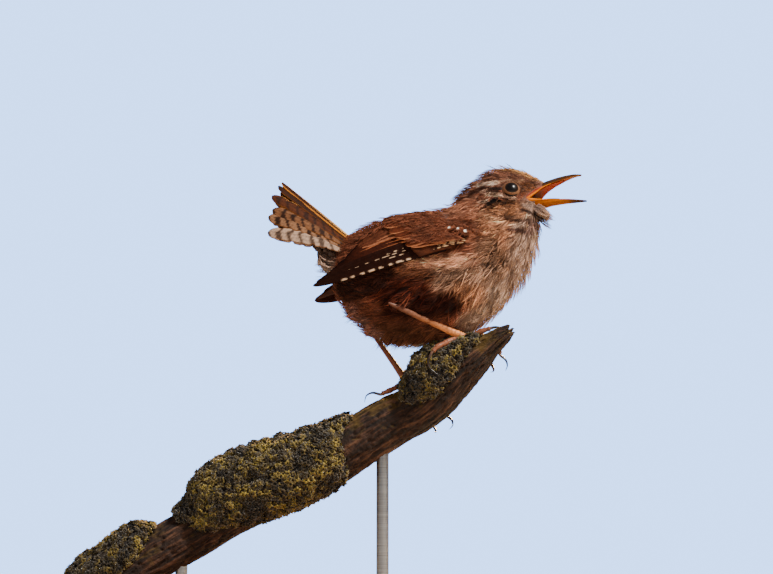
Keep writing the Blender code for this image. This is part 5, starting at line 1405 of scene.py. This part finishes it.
LEG_PINK, LEG_BROWN, LEG_ORANGE = (0.36, 0.13, 0.07), (0.14, 0.042, 0.018), (0.6, 0.2, 0.055)
leg_finish = tinted_finish("leg_skin", 0.45, 1600.0, 0.25, Specular_IOR_Level=0.3)
claw_finish = tinted_finish("claw_horn", 0.25, 1200.0, 0.25, Coat_Weight=0.4, Coat_Roughness=0.15)


def scaled_tube(path, radii, sides, scute, up=(0.0, 0.0, 1.0)):
    """Rings of a leg or toe, with scutes that step across its upper or front side."""
    steps = np.concatenate([[0], np.cumsum(np.linalg.norm(np.diff(path, axis=0), axis=1))])
    rings = tube_rings(path, radii, sides, up)
    middle = np.asarray(path)[:, None]
    turn = np.linspace(0, 2 * math.pi, sides, endpoint=False)
    front = ease(np.sin(turn), -0.1, 0.5)[None]
    saw = ((steps / scute) % 1.0)[:, None]
    step = 0.07 * front * (ease(saw, 0.0, 0.85) - ease(saw, 0.85, 1.0))
    pebbles = 0.025 * (1 - front) * np.sin(turn * 9)[None] * np.sin(steps * 6)[:, None]
    grooves = front * (ease(saw, 0.78, 0.95) * (1 - ease(saw, 0.97, 1.0)))
    return middle + (rings - middle) * (1 + step + pebbles)[..., None], grooves


def join_rings(name, groups, finish):
    """One mesh of several closed lofts."""
    points, faces, base = [], [], 0
    for rings in groups:
        count, sides = rings.shape[:2]
        points.append(np.vstack([rings.reshape(-1, 3), rings[0].mean(0), rings[-1].mean(0)]))
        faces += loft_faces(count, sides, base).tolist()
        for ring, tip in ((0, count * sides), (count - 1, count * sides + 1)):
            first = base + ring * sides
            faces += [(first + j, first + (j + 1) % sides, base + tip) for j in range(sides)]
        base += count * sides + 2
    obj = new_piece(name, np.concatenate(points), faces, finish)
    face_outwards(obj)
    return obj


for side_name, (hip, heel, ankle) in LEGS.items():
    heel, ankle = np.array(heel), np.array(ankle)
    drop = unit(ankle - heel)
    share = np.linspace(SHANK_FROM[side_name], 0.99, 150)[:, None]
    bow = np.sin(math.pi * share.clip(0, 1)) * np.array((0.0, 0.0, 0.12))
    bow = bow - np.array((0.0, HEEL_OUT[side_name], 0.0)) * (1 - ease(share, -0.1, 0.45))
    path = heel + (ankle - heel) * share + bow
    radii = smooth_rows(SHANK_RADII, np.linspace(0, len(SHANK_RADII) - 1, 150))
    radii[:36] *= np.sqrt(1 - np.linspace(0.98, 0, 36) ** 2)
    rings, grooves = scaled_tube(path, radii, 28, SCUTE, up=(1.0, 0.0, 0.5))
    shank = closed_loft(f"shank_{side_name}", rings, leg_finish)
    ground = blend_tints(np.array(LEG_PINK) * 0.35, LEG_ORANGE, ease(share, 0.1, 0.95)) if side_name == "right" else blend_tints(LEG_BROWN, LEG_PINK, 0.4 * share)
    tint = blend_tints(ground + np.zeros((150, 28, 3)), np.array(LEG_BROWN) * 0.5, 0.75 * grooves)
    own_piece(shank, np.concatenate([tint.reshape(-1, 3), tint[0, :1], tint[-1, :1]]), "leg_skin", f"leg_{side_name}")

    groups, tints = [], []
    polar = np.linspace(0.15, math.pi - 0.15, 20)[:, None]
    round_it = np.linspace(0, 2 * math.pi, 28, endpoint=False)[None]
    palm = np.stack([1.35 * np.cos(polar) + 0 * round_it, 1.15 * np.sin(polar) * np.cos(round_it), 0.98 * np.sin(polar) * np.sin(round_it)], -1)
    groups.append(palm + ankle)
    tints.append(np.tile(LEG_ORANGE, (20 * 28 + 2, 1)))
    for toe, (joints, claw_points) in TOES[side_name].items():
        count = 90
        path = curve_through([ankle, *joints], count)
        part = np.linspace(0, 1, count)
        pad = 0.1 * np.cos(2 * math.pi * part * len(joints))
        radii = TOE_RADIUS * (1.1 - 0.27 * part + pad)
        radii[-6:] *= np.sqrt(1 - np.linspace(0, 0.93, 6) ** 2)
        rings, grooves = scaled_tube(path, radii, 20, 0.85)
        groups.append(rings)
        ground = blend_tints(LEG_PINK, LEG_BROWN, 0.35 + 0.4 * part[:, None] + np.zeros((count, 20)))
        tint = blend_tints(ground, np.array(LEG_BROWN) * 0.4, 0.8 * grooves)
        tints.append(np.concatenate([tint.reshape(-1, 3), tint[0, :1], tint[-1, :1]]))
        heading = unit(path[-1] - path[-4])
        start = path[-1] - heading * 0.25
        claw_path = curve_through([start, start + heading * 0.8, *claw_points], 30)
        part = np.linspace(0, 1, 30)
        radii = CLAW_RADIUS * (1.02 - 0.94 * part ** 1.3)
        claw = closed_loft(f"claw_{side_name}_{toe}_horn", tube_rings(claw_path, radii, 16, up=(0, 1, 0.1), flat=0.8), claw_finish)
        shade = np.append(np.repeat(part, 16), (0, 1))
        own_piece(claw, blend_tints((0.2, 0.1, 0.065), (0.022, 0.014, 0.011), ease(shade, 0.0, 0.45)), "dark_horn", f"claw_{side_name}_{toe}")
    foot = join_rings(f"toes_{side_name}", groups, leg_finish)
    own_piece(foot, np.concatenate(tints), "leg_skin", f"foot_{side_name}")

# The perch: a short cut length of an old branch, with rough dark bark that is cracked along it, a sawn
# lower end and a broken, splintered tip. A row of PERCH is the pith's x, y, z and the wood's radius.
PERCH = np.array([
    (-67.3, 13.5, 10.6, 6.6),
    (-55.0, 13.2, 17.5, 6.7),
    (-37.1, 12.6, 27.6, 6.8),
    (-24.8, 12.0, 34.7, 6.8),
    (-3.2, 9.5, 44.5, 6.7),
    (7.4, 7.6, 51.6, 7.0),
    (17.1, 5.4, 57.4, 6.8),
    (22.9, 3.6, 59.9, 6.4),
    (28.1, 1.6, 63.6, 6.2),
    (32.2, -0.6, 67.6, 5.8),
    (35.8, -2.8, 70.8, 5.2),
    (39.1, -4.9, 73.7, 4.4),
    (42.4, -6.9, 76.3, 3.2),
    (45.0, -8.5, 78.2, 2.5),
    (46.6, -9.5, 79.3, 1.7),
])
BARK_RINGS, BARK_SIDES = 420, 110
BARK_RIDGE, BARK_CRACK, BARK_GRIT = 0.5, 0.55, 0.14


def perch_at(x):
    """Pith, direction, upward and sideways directions, and wood radius at places along the perch."""
    at = np.interp(x, PERCH[:, 0], np.arange(len(PERCH)))
    row = smooth_rows(PERCH, at)
    ahead, behind = smooth_rows(PERCH, np.minimum(at + 0.05, len(PERCH) - 1)), smooth_rows(PERCH, np.maximum(at - 0.05, 0))
    along = unit((ahead - behind)[..., :3])
    up = unit(np.array((0.0, 0.0, 1.0)) - along * along[..., 2:])
    return row[..., :3], along, up, np.cross(along, up), row[..., 3]


def on_perch(x, angle, lift):
    """Points above the wood. The angle is 0 on top and grows towards the bird's right, in degrees."""
    pith, _, up, side, radius = perch_at(x)
    turn = np.radians(angle)[..., None]
    return pith + (up * np.cos(turn) + side * np.sin(turn)) * (radius + lift)[..., None]


def noise_at(points, octaves=3, rough=0.5):
    """Smooth noise from -1 to 1 at each of many points, with finer layers added."""
    flat = np.asarray(points, float).reshape(-1, 3)
    found = [noise.fractal(point, 1.0, 2.0, octaves) for point in flat.tolist()]
    return np.array(found).reshape(np.shape(points)[:-1]) * rough * 2


def bark_finish():
    finish, tree, shader = new_finish("bark", 0.88)
    grain = add_node(tree, "ShaderNodeAttribute", {"attribute_name": "grain"})
    place = add_node(tree, "ShaderNodeTexCoord")
    plates = add_node(
        tree, "ShaderNodeTexNoise", None,
        {"Vector": grain.outputs["Vector"], "Scale": 0.9, "Detail": 6.0, "Roughness": 0.62},
    )
    wood = add_node(tree, "ShaderNodeValToRGB", None, {"Fac": plates.outputs["Fac"]})
    ramp = wood.color_ramp
    ramp.elements[0].position, ramp.elements[0].color = 0.38, (0.004, 0.0016, 0.0008, 1)
    ramp.elements[1].position, ramp.elements[1].color = 0.72, (0.13, 0.058, 0.03, 1)
    middle = ramp.elements.new(0.52)
    middle.color = (0.022, 0.0075, 0.003, 1)
    algae = add_node(
        tree, "ShaderNodeTexNoise", None, {"Vector": place.outputs["Object"], "Scale": 160.0, "Detail": 4.0}
    )
    facing = add_node(tree, "ShaderNodeNewGeometry")
    apart = add_node(tree, "ShaderNodeSeparateXYZ", None, {0: facing.outputs["Normal"]})
    raised = add_node(tree, "ShaderNodeMath", {"operation": "MULTIPLY_ADD"}, {0: apart.outputs["Z"], 1: 0.16, 2: algae.outputs["Fac"]})
    green = add_node(
        tree, "ShaderNodeMapRange", None,
        {"Value": raised.outputs[0], "From Min": 0.56, "From Max": 0.72, "To Min": 0.0, "To Max": 0.75},
    )
    mixed = add_node(
        tree, "ShaderNodeMix", {"data_type": "RGBA"},
        {0: green.outputs["Result"], 6: wood.outputs["Color"], 7: (0.1, 0.055, 0.006, 1)},
    )
    tree.links.new(mixed.outputs[2], shader.inputs["Base Color"])
    grit = add_node(
        tree, "ShaderNodeTexNoise", None, {"Vector": place.outputs["Object"], "Scale": 1500.0, "Detail": 5.0}
    )
    height = add_node(tree, "ShaderNodeMath", {"operation": "MULTIPLY_ADD"}, {0: plates.outputs["Fac"], 1: 2.0, 2: grit.outputs["Fac"]})
    bump = add_node(tree, "ShaderNodeBump", None, {"Height": height.outputs[0], "Strength": 0.7, "Distance": 0.0004})
    tree.links.new(bump.outputs["Normal"], shader.inputs["Normal"])
    return finish


def sawn_finish():
    """Pale sawn wood with wavering growth rings round the pith."""
    finish, tree, shader = new_finish("sawn_wood", 0.75)
    pith, along, _, _, _ = perch_at(PERCH[:1, 0])
    place = add_node(tree, "ShaderNodeTexCoord")
    centred = add_node(
        tree, "ShaderNodeVectorMath", {"operation": "SUBTRACT"},
        {0: place.outputs["Object"], 1: tuple((pith[0] + (0, 0, RAISE)) * MM)},
    )
    round_pith = add_node(tree, "ShaderNodeVectorMath", {"operation": "CROSS_PRODUCT"}, {0: centred.outputs[0], 1: tuple(along[0])})
    distance = add_node(tree, "ShaderNodeVectorMath", {"operation": "LENGTH"}, {0: round_pith.outputs[0]})
    waver = add_node(tree, "ShaderNodeTexNoise", None, {"Vector": place.outputs["Object"], "Scale": 350.0, "Detail": 3.0})
    phase = add_node(tree, "ShaderNodeMath", {"operation": "MULTIPLY"}, {0: distance.outputs["Value"], 1: 7500.0})
    moved = add_node(tree, "ShaderNodeMath", {"operation": "MULTIPLY_ADD"}, {0: waver.outputs["Fac"], 1: 5.0, 2: phase.outputs[0]})
    wave = add_node(tree, "ShaderNodeMath", {"operation": "SINE"}, {0: moved.outputs[0]})
    ring = add_node(tree, "ShaderNodeMapRange", None, {"Value": wave.outputs[0], "From Min": -0.4, "From Max": 1.0, "To Min": 0.0, "To Max": 0.7})
    mixed = add_node(
        tree, "ShaderNodeMix", {"data_type": "RGBA"},
        {0: ring.outputs["Result"], 6: (0.47, 0.33, 0.19, 1), 7: (0.26, 0.15, 0.075, 1)},
    )
    tree.links.new(mixed.outputs[2], shader.inputs["Base Color"])
    bump = add_node(tree, "ShaderNodeBump", None, {"Height": wave.outputs[0], "Strength": 0.3, "Distance": 0.0001})
    tree.links.new(bump.outputs["Normal"], shader.inputs["Normal"])
    return finish


bark_x = np.linspace(PERCH[0, 0], PERCH[-1, 0], BARK_RINGS)[:, None] + np.zeros((1, BARK_SIDES))
bark_angle = np.arange(BARK_SIDES)[None] * 360 / BARK_SIDES + np.zeros((BARK_RINGS, 1))
bark_turn = np.radians(bark_angle)
bark_round = np.stack([bark_x, 6.5 * np.cos(bark_turn), 6.5 * np.sin(bark_turn)], -1)
ridge = noise_at(bark_round * (0.09, 0.48, 0.48), 2)
crack = np.abs(noise_at(bark_round * (0.11, 0.55, 0.55) + 40.0, 3))
grit = noise_at(bark_round * (0.9, 1.4, 1.4) + 80.0, 3)
bark_lift = -0.15 + BARK_RIDGE * 0.5 * ridge - BARK_CRACK * (1 - ease(crack, 0.0, 0.14)) + BARK_GRIT * grit
bark_lift *= ease(bark_x, PERCH[0, 0], PERCH[0, 0] + 0.6) * 0.9 + 0.1
bark = on_perch(bark_x, bark_angle, bark_lift)
splinter = noise_at(np.stack([0 * bark_turn[-1] + 9.0, 2.4 * np.cos(bark_turn[-1]), 2.4 * np.sin(bark_turn[-1])], -1), 3)
tip_way = perch_at(PERCH[-1:, 0])[1]
for back, reach in ((1, 1.3), (2, 0.9), (3, 0.6), (4, 0.35)):
    bark[-back] += tip_way * (splinter * reach)[:, None]
cap = [bark[0] + (bark[0].mean(0) - bark[0]) * share for share in (0.15, 0.5, 0.8, 0.95)]
jag = [bark[-1] + (bark[-1].mean(0) - bark[-1]) * share - tip_way * 0.5 * share for share in (0.3, 0.6, 0.85)]
branch_rings = np.concatenate([np.array(cap[::-1]), bark, np.array(jag)])
branch = closed_loft("perch_bark", branch_rings, bark_finish())
branch.data.materials.append(sawn_finish())
first_ring = len(cap) * BARK_SIDES
for face in branch.data.polygons:
    if all(v < first_ring + BARK_SIDES or v == len(branch_rings) * BARK_SIDES for v in face.vertices):
        face.material_index = 1
grain = np.zeros((len(branch.data.vertices), 3), np.float32)
grain[first_ring:first_ring + bark_round.size // 3] = (bark_round * (0.16, 1.0, 1.0)).reshape(-1, 3)
grain[first_ring + bark_round.size // 3:] = layout_points(branch)[first_ring + bark_round.size // 3:]
layer = branch.data.attributes.new("grain", "FLOAT_VECTOR", "POINT")
layer.data.foreach_set("vector", grain.ravel())
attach(branch, "root")
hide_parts("perch_branch")

# The moss and lichen: cushions of clumps that hug the bark, each grown over with curled lobes. A row is
# x, height over the bark, and the two angles between which the cushion covers the wood.
MOSS = {
    "top": (3, 0.78, np.array([
        (21.5, 0.5, 5, 55),
        (24.0, 1.6, -30, 80),
        (27.0, 3.4, -48, 100),
        (30.0, 4.6, -55, 110),
        (34.0, 3.9, -50, 105),
        (38.0, 1.8, -35, 85),
        (41.0, 0.6, 5, 60),
    ])),
    "bulge": (5, 1.0, np.array([
        (-37.5, 0.5, -30, 50),
        (-33.5, 2.0, -70, 100),
        (-28.0, 5.4, -95, 120),
        (-20.0, 6.3, -100, 150),
        (-12.0, 5.8, -100, 165),
        (-6.0, 4.6, -95, 165),
        (0.0, 3.6, -85, 155),
        (4.0, 2.0, -50, 85),
        (9.0, 0.5, 0, 35),
    ])),
    "low": (8, 0.78, np.array([
        (-65.0, 0.6, -20, 60),
        (-61.0, 1.9, -45, 85),
        (-55.0, 2.3, -50, 90),
        (-50.0, 3.0, -50, 80),
        (-46.5, 2.4, -45, 55),
        (-43.5, 0.5, -10, 30),
    ])),
}
MOSS_CELL = 0.45
MOSS_CLUMP = 3.4
LOBE_SIZE = (0.6, 1.75)
LOBES_PER_MM2 = 1.6


def moss_clumps(random, x_from, x_to, step):
    """Middles of rounded clumps, as x and angle, jittered on a grid."""
    found = []
    for row, x in enumerate(np.arange(x_from, x_to, step * 0.85)):
        for angle in np.arange(-180 + (row % 2) * step * 4, 180, step * 8):
            shift = random.uniform(-0.28, 0.28, 2)
            found.append((x + shift[0] * step, angle + shift[1] * step * 8))
    return np.array(found)


def moss_cushion(name, seed, table, finish):
    """The cushion itself: domes of two sizes over an underside that fits the bark."""
    random = np.random.default_rng(seed)
    large = moss_clumps(random, table[0][0], table[-1][0], MOSS_CLUMP)
    small = moss_clumps(random, table[0][0], table[-1][0], MOSS_CLUMP * 0.42)
    rows = int((table[-1][0] - table[0][0]) / MOSS_CELL)
    columns = 64
    x = np.linspace(table[0][0], table[-1][0], rows + 1)
    _, high, low_angle, high_angle = smooth_rows(table, np.interp(x, table[:, 0], np.arange(len(table)))).T
    share = np.linspace(0, 1, columns + 1)
    angle = low_angle[:, None] * (1 - share) + high_angle[:, None] * share
    wide_x = x[:, None] + 0 * angle
    radius = perch_at(x)[4][:, None] + high[:, None] * 0.6
    rise = 0
    for spots, step, deep in ((large, MOSS_CLUMP, 0.46), (small, MOSS_CLUMP * 0.42, 0.2)):
        flat = np.hypot(spots[:, 0] - wide_x[..., None], np.radians(spots[:, 1] - angle[..., None]) * radius[..., None])
        rise = rise + deep * np.sqrt(np.maximum(0, 1 - (flat.min(-1) / (step * 0.8)) ** 2))
    fade = np.sin(math.pi * share).clip(0) ** 0.5 * (0.68 + 0.32 * np.cos(np.radians(angle)))
    outer = on_perch(wide_x, angle, 0.4 + np.maximum(high, 0.2)[:, None] * fade * (0.48 + rise))
    inner = on_perch(wide_x, angle, -0.35 + 0 * angle)
    wide = columns + 1
    a = (np.arange(rows)[:, None] * wide + np.arange(columns)[None]).ravel()
    top = np.stack([a, a + 1, a + wide + 1, a + wide], -1)
    below = top[:, ::-1] + outer.size // 3
    rim = np.concatenate([
        np.arange(wide), np.arange(1, rows + 1) * wide + columns,
        rows * wide + np.arange(columns - 1, -1, -1), np.arange(rows - 1, 0, -1) * wide,
    ])
    after = np.roll(rim, -1)
    edge = np.stack([after, rim, rim + outer.size // 3, after + outer.size // 3], -1)
    piece = new_piece(name, np.concatenate([outer.reshape(-1, 3), inner.reshape(-1, 3)]), np.concatenate([top, below, edge]), finish)
    face_outwards(piece)
    return piece


def moss_lobe(random):
    """A curled cluster of small lobes, as closed three-sided blades that bend over."""
    points, faces = [], []
    for turn in np.arange(0, 2 * math.pi, 2 * math.pi / 5) + random.uniform(0, 1):
        way = np.array((math.cos(turn), math.sin(turn), 0.0))
        side = np.array((-math.sin(turn), math.cos(turn), 0.0))
        base = len(points)
        for along, high, wide in ((0.02, -0.15, 0.14), (0.3, 0.42, 0.3)):
            middle = way * along + np.array((0, 0, high))
            points += [middle - side * wide, middle + side * wide, middle + way * 0.12 - (0, 0, 0.12)]
        points.append(way * 0.78 + np.array((0, 0, 0.34)) + side * random.uniform(-0.2, 0.2))
        faces.append((base, base + 2, base + 1))
        for i, j in ((0, 1), (1, 2), (2, 0)):
            faces += [(base + i, base + j, base + 3 + j), (base + i, base + 3 + j, base + 3 + i)]
            faces.append((base + 3 + i, base + 3 + j, base + 6))
    mesh = bpy.data.meshes.new("moss_lobe")
    mesh.from_pydata((np.array(points) * MM).tolist(), [], [list(map(int, face)) for face in faces])
    mesh.shade_smooth()
    return bpy.data.objects.new("moss_lobe", mesh)


def scatter_tree(name):
    """A node tree that grows a small shape all over a surface, turned to its faces."""
    tree = bpy.data.node_groups.new(name, "GeometryNodeTree")
    kinds = (
        ("Surface", "NodeSocketGeometry"), ("Shape", "NodeSocketObject"), ("Density", "NodeSocketFloat"),
        ("Smallest", "NodeSocketFloat"), ("Largest", "NodeSocketFloat"), ("Lean", "NodeSocketFloat"),
        ("Seed", "NodeSocketInt"), ("Finish", "NodeSocketMaterial"),
    )
    for label, kind in kinds:
        tree.interface.new_socket(label, in_out="INPUT", socket_type=kind)
    tree.interface.new_socket("Growth", in_out="OUTPUT", socket_type="NodeSocketGeometry")
    given = tree.nodes.new("NodeGroupInput").outputs
    spots = add_node(
        tree, "GeometryNodeDistributePointsOnFaces", None,
        {"Mesh": given["Surface"], "Density": given["Density"], "Seed": given["Seed"]},
    )
    shape = add_node(tree, "GeometryNodeObjectInfo", None, {"Object": given["Shape"]})
    size = add_node(
        tree, "FunctionNodeRandomValue", {"data_type": "FLOAT"},
        {2: given["Smallest"], 3: given["Largest"], "Seed": given["Seed"]},
    )
    spin = add_node(
        tree, "FunctionNodeRandomValue", {"data_type": "FLOAT_VECTOR"},
        {0: (-1.0, -1.0, -3.14), 1: (1.0, 1.0, 3.14), "Seed": given["Seed"]},
    )
    lean = add_node(tree, "ShaderNodeCombineXYZ", None, {0: given["Lean"], 1: given["Lean"], 2: 1.0})
    spun = add_node(tree, "ShaderNodeVectorMath", {"operation": "MULTIPLY"}, {0: spin.outputs[0], 1: lean.outputs[0]})
    turned = add_node(
        tree, "FunctionNodeRotateRotation", {"rotation_space": "LOCAL"},
        {0: spots.outputs["Rotation"], 1: add_node(tree, "FunctionNodeEulerToRotation", None, {0: spun.outputs[0]}).outputs[0]},
    )
    grown = add_node(
        tree, "GeometryNodeInstanceOnPoints", None,
        {"Points": spots.outputs["Points"], "Instance": shape.outputs["Geometry"], "Rotation": turned.outputs[0], "Scale": size.outputs[1]},
    )
    shade = add_node(tree, "FunctionNodeRandomValue", {"data_type": "FLOAT"}, {2: 0.0, 3: 1.0, "Seed": 7})
    kept = add_node(
        tree, "GeometryNodeStoreNamedAttribute", {"data_type": "FLOAT", "domain": "INSTANCE"},
        {"Geometry": grown.outputs[0], "Name": "shade", "Value": shade.outputs[1]},
    )
    real = add_node(tree, "GeometryNodeRealizeInstances", None, {0: kept.outputs[0]})
    done = add_node(tree, "GeometryNodeSetMaterial", None, {"Geometry": real.outputs[0], "Material": given["Finish"]})
    out = tree.nodes.new("NodeGroupOutput")
    tree.links.new(done.outputs[0], out.inputs[0])
    return tree


def grow_on(surface, name, tree, **settings):
    """A new piece from the growth of a node tree on a surface, as a plain mesh."""
    carrier = bpy.data.objects.new(name, surface.data.copy())
    bpy.context.scene.collection.objects.link(carrier)
    growth = carrier.modifiers.new("growth", "NODES")
    growth.node_group = tree
    sockets = {item.name: item.identifier for item in tree.interface.items_tree if item.in_out == "INPUT"}
    for label, value in settings.items():
        growth[sockets[label]] = value
    apply_modifiers(carrier)
    carrier.data.shade_smooth()
    return carrier


def moss_finish(name, dark, light, tip, roughness=0.85):
    """Moss in patches of several greens, each lobe with a shade of its own."""
    finish, tree, shader = new_finish(name, roughness, Sheen_Weight=0.15)
    place = add_node(tree, "ShaderNodeTexCoord")
    shade = add_node(tree, "ShaderNodeAttribute", {"attribute_name": "shade"})
    patch = add_node(tree, "ShaderNodeTexNoise", None, {"Vector": place.outputs["Object"], "Scale": 150.0, "Detail": 3.0})
    both = add_node(tree, "ShaderNodeMath", {"operation": "MULTIPLY_ADD"}, {0: shade.outputs["Fac"], 1: 0.36, 2: patch.outputs["Fac"]})
    ramp = add_node(tree, "ShaderNodeValToRGB", None, {"Fac": both.outputs[0]})
    ramp.color_ramp.elements[0].position, ramp.color_ramp.elements[0].color = 0.42, (*dark, 1)
    ramp.color_ramp.elements[1].position, ramp.color_ramp.elements[1].color = 0.95, (*tip, 1)
    ramp.color_ramp.elements.new(0.68).color = (*light, 1)
    tree.links.new(ramp.outputs["Color"], shader.inputs["Base Color"])
    grain = add_node(tree, "ShaderNodeTexNoise", None, {"Vector": place.outputs["Object"], "Scale": 2500.0, "Detail": 3.0})
    bump = add_node(tree, "ShaderNodeBump", None, {"Height": grain.outputs["Fac"], "Strength": 0.5, "Distance": 0.0003})
    tree.links.new(bump.outputs["Normal"], shader.inputs["Normal"])
    return finish


moss_under = moss_finish("moss_under", (0.005, 0.002, 0.001), (0.026, 0.013, 0.003), (0.055, 0.032, 0.006))
moss_tips = moss_finish("moss_lobes", (0.006, 0.003, 0.001), (0.042, 0.026, 0.004), (0.27, 0.19, 0.025))
lobe = moss_lobe(np.random.default_rng(6))
moss_tree = scatter_tree("moss_growth")
for name, (seed, dense, table) in MOSS.items():
    cushion = moss_cushion(f"moss_{name}_cushion", seed, table, moss_under)
    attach(cushion, "root")
    lobes = grow_on(
        cushion, f"moss_{name}_lobes", moss_tree, Shape=lobe, Density=LOBES_PER_MM2 * dense * 1e6,
        Smallest=LOBE_SIZE[0], Largest=LOBE_SIZE[1], Lean=0.7, Seed=seed, Finish=moss_tips,
    )
    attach(lobes, "root")
    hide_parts(f"perch_moss_{name}")
    print("moss", name, len(cushion.data.polygons), len(lobes.data.polygons))
bpy.data.objects.remove(lobe)

# The display stand: an oval base of oiled dark wood with an eased edge, and two steel rods that are
# let into it and into the underside of the branch.
BASE_LONG, BASE_WIDE, BASE_HIGH = 58.0, 40.0, 8.0
BASE_EDGE = 1.6
ROD_XS = {"front": 13.5, "rear": -39.5}
ROD_RADIUS, ROD_SINK = 1.6, 4.0


def wood_finish():
    finish, tree, shader = new_finish("oiled_wood", 0.38, Coat_Weight=0.2, Coat_Roughness=0.3)
    place = add_node(tree, "ShaderNodeTexCoord")
    stretched = add_node(tree, "ShaderNodeMapping", None, {"Vector": place.outputs["Object"], "Scale": (1.0, 9.0, 9.0), "Rotation": (0.0, 0.0, 0.06)})
    figure = add_node(tree, "ShaderNodeTexNoise", None, {"Vector": stretched.outputs[0], "Scale": 22.0, "Detail": 5.0, "Distortion": 0.6})
    pores = add_node(tree, "ShaderNodeTexNoise", None, {"Vector": stretched.outputs[0], "Scale": 240.0, "Detail": 3.0})
    both = add_node(tree, "ShaderNodeMath", {"operation": "MULTIPLY_ADD"}, {0: pores.outputs["Fac"], 1: 0.35, 2: figure.outputs["Fac"]})
    ramp = add_node(tree, "ShaderNodeValToRGB", None, {"Fac": both.outputs[0]})
    ramp.color_ramp.elements[0].position, ramp.color_ramp.elements[0].color = 0.5, (0.05, 0.022, 0.01, 1)
    ramp.color_ramp.elements[1].position, ramp.color_ramp.elements[1].color = 0.82, (0.2, 0.1, 0.045, 1)
    tree.links.new(ramp.outputs["Color"], shader.inputs["Base Color"])
    bump = add_node(tree, "ShaderNodeBump", None, {"Height": pores.outputs["Fac"], "Strength": 0.2, "Distance": 0.0002})
    tree.links.new(bump.outputs["Normal"], shader.inputs["Normal"])
    return finish


def steel_finish():
    finish, tree, shader = new_finish("brushed_steel", 0.3, Metallic=1.0)
    place = add_node(tree, "ShaderNodeTexCoord")
    lines = add_node(tree, "ShaderNodeMapping", None, {"Vector": place.outputs["Object"], "Scale": (1.0, 1.0, 60.0)})
    brushed = add_node(tree, "ShaderNodeTexNoise", None, {"Vector": lines.outputs[0], "Scale": 90.0, "Detail": 4.0})
    ramp = add_node(tree, "ShaderNodeValToRGB", None, {"Fac": brushed.outputs["Fac"]})
    ramp.color_ramp.elements[0].position, ramp.color_ramp.elements[0].color = 0.3, (0.42, 0.42, 0.42, 1)
    ramp.color_ramp.elements[1].position, ramp.color_ramp.elements[1].color = 0.7, (0.66, 0.66, 0.65, 1)
    tree.links.new(ramp.outputs["Color"], shader.inputs["Base Color"])
    rough = add_node(tree, "ShaderNodeMapRange", None, {"Value": brushed.outputs["Fac"], "To Min": 0.22, "To Max": 0.42})
    tree.links.new(rough.outputs["Result"], shader.inputs["Roughness"])
    return finish


level = [(1 - BASE_EDGE / BASE_WIDE, 0.0)]
for turn in np.linspace(0, math.pi / 2, 8):
    level.append((1 - BASE_EDGE / BASE_WIDE * (1 - math.sin(turn)), BASE_EDGE * (1 - math.cos(turn))))
for turn in np.linspace(math.pi / 2, 0, 8):
    level.append((1 - BASE_EDGE / BASE_WIDE * (1 - math.sin(turn)), BASE_HIGH - BASE_EDGE * (1 - math.cos(turn))))
level += [(share, BASE_HIGH) for share in (0.93, 0.7, 0.4, 0.1)]
level = [(share, 0.0) for share in (0.1, 0.5, 0.9)] + level
turn = np.linspace(0, 2 * math.pi, 180, endpoint=False)
base_rings = []
for share, height in level:
    edge = BASE_WIDE * (1 - share)
    base_rings.append(np.stack([
        (BASE_LONG - edge) * np.cos(turn) * (1 if share > 0.9 else share),
        (BASE_WIDE - edge) * np.sin(turn) * (1 if share > 0.9 else 1),
        0 * turn + height - RAISE,
    ], -1))
base_plate = closed_loft("stand_base_wood", np.array(base_rings), wood_finish())
base_plate.data.set_sharp_from_angle(angle=math.radians(50))
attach(base_plate, "root")
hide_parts("stand_base")
rod_finish = steel_finish()
for name, x in ROD_XS.items():
    pith, _, _, _, radius = perch_at(np.array(x))
    levels = np.linspace(BASE_HIGH - RAISE - 2.0, pith[2] - radius + ROD_SINK, 60)
    path = np.stack([pith[0] + 0 * levels, pith[1] + 0 * levels, levels], -1)
    rod = closed_loft(f"stand_rod_{name}_steel", tube_rings(path, ROD_RADIUS, 40, up=(1.0, 0.0, 0.0)), rod_finish)
    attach(rod, "root")
    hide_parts(f"stand_rod_{name}")
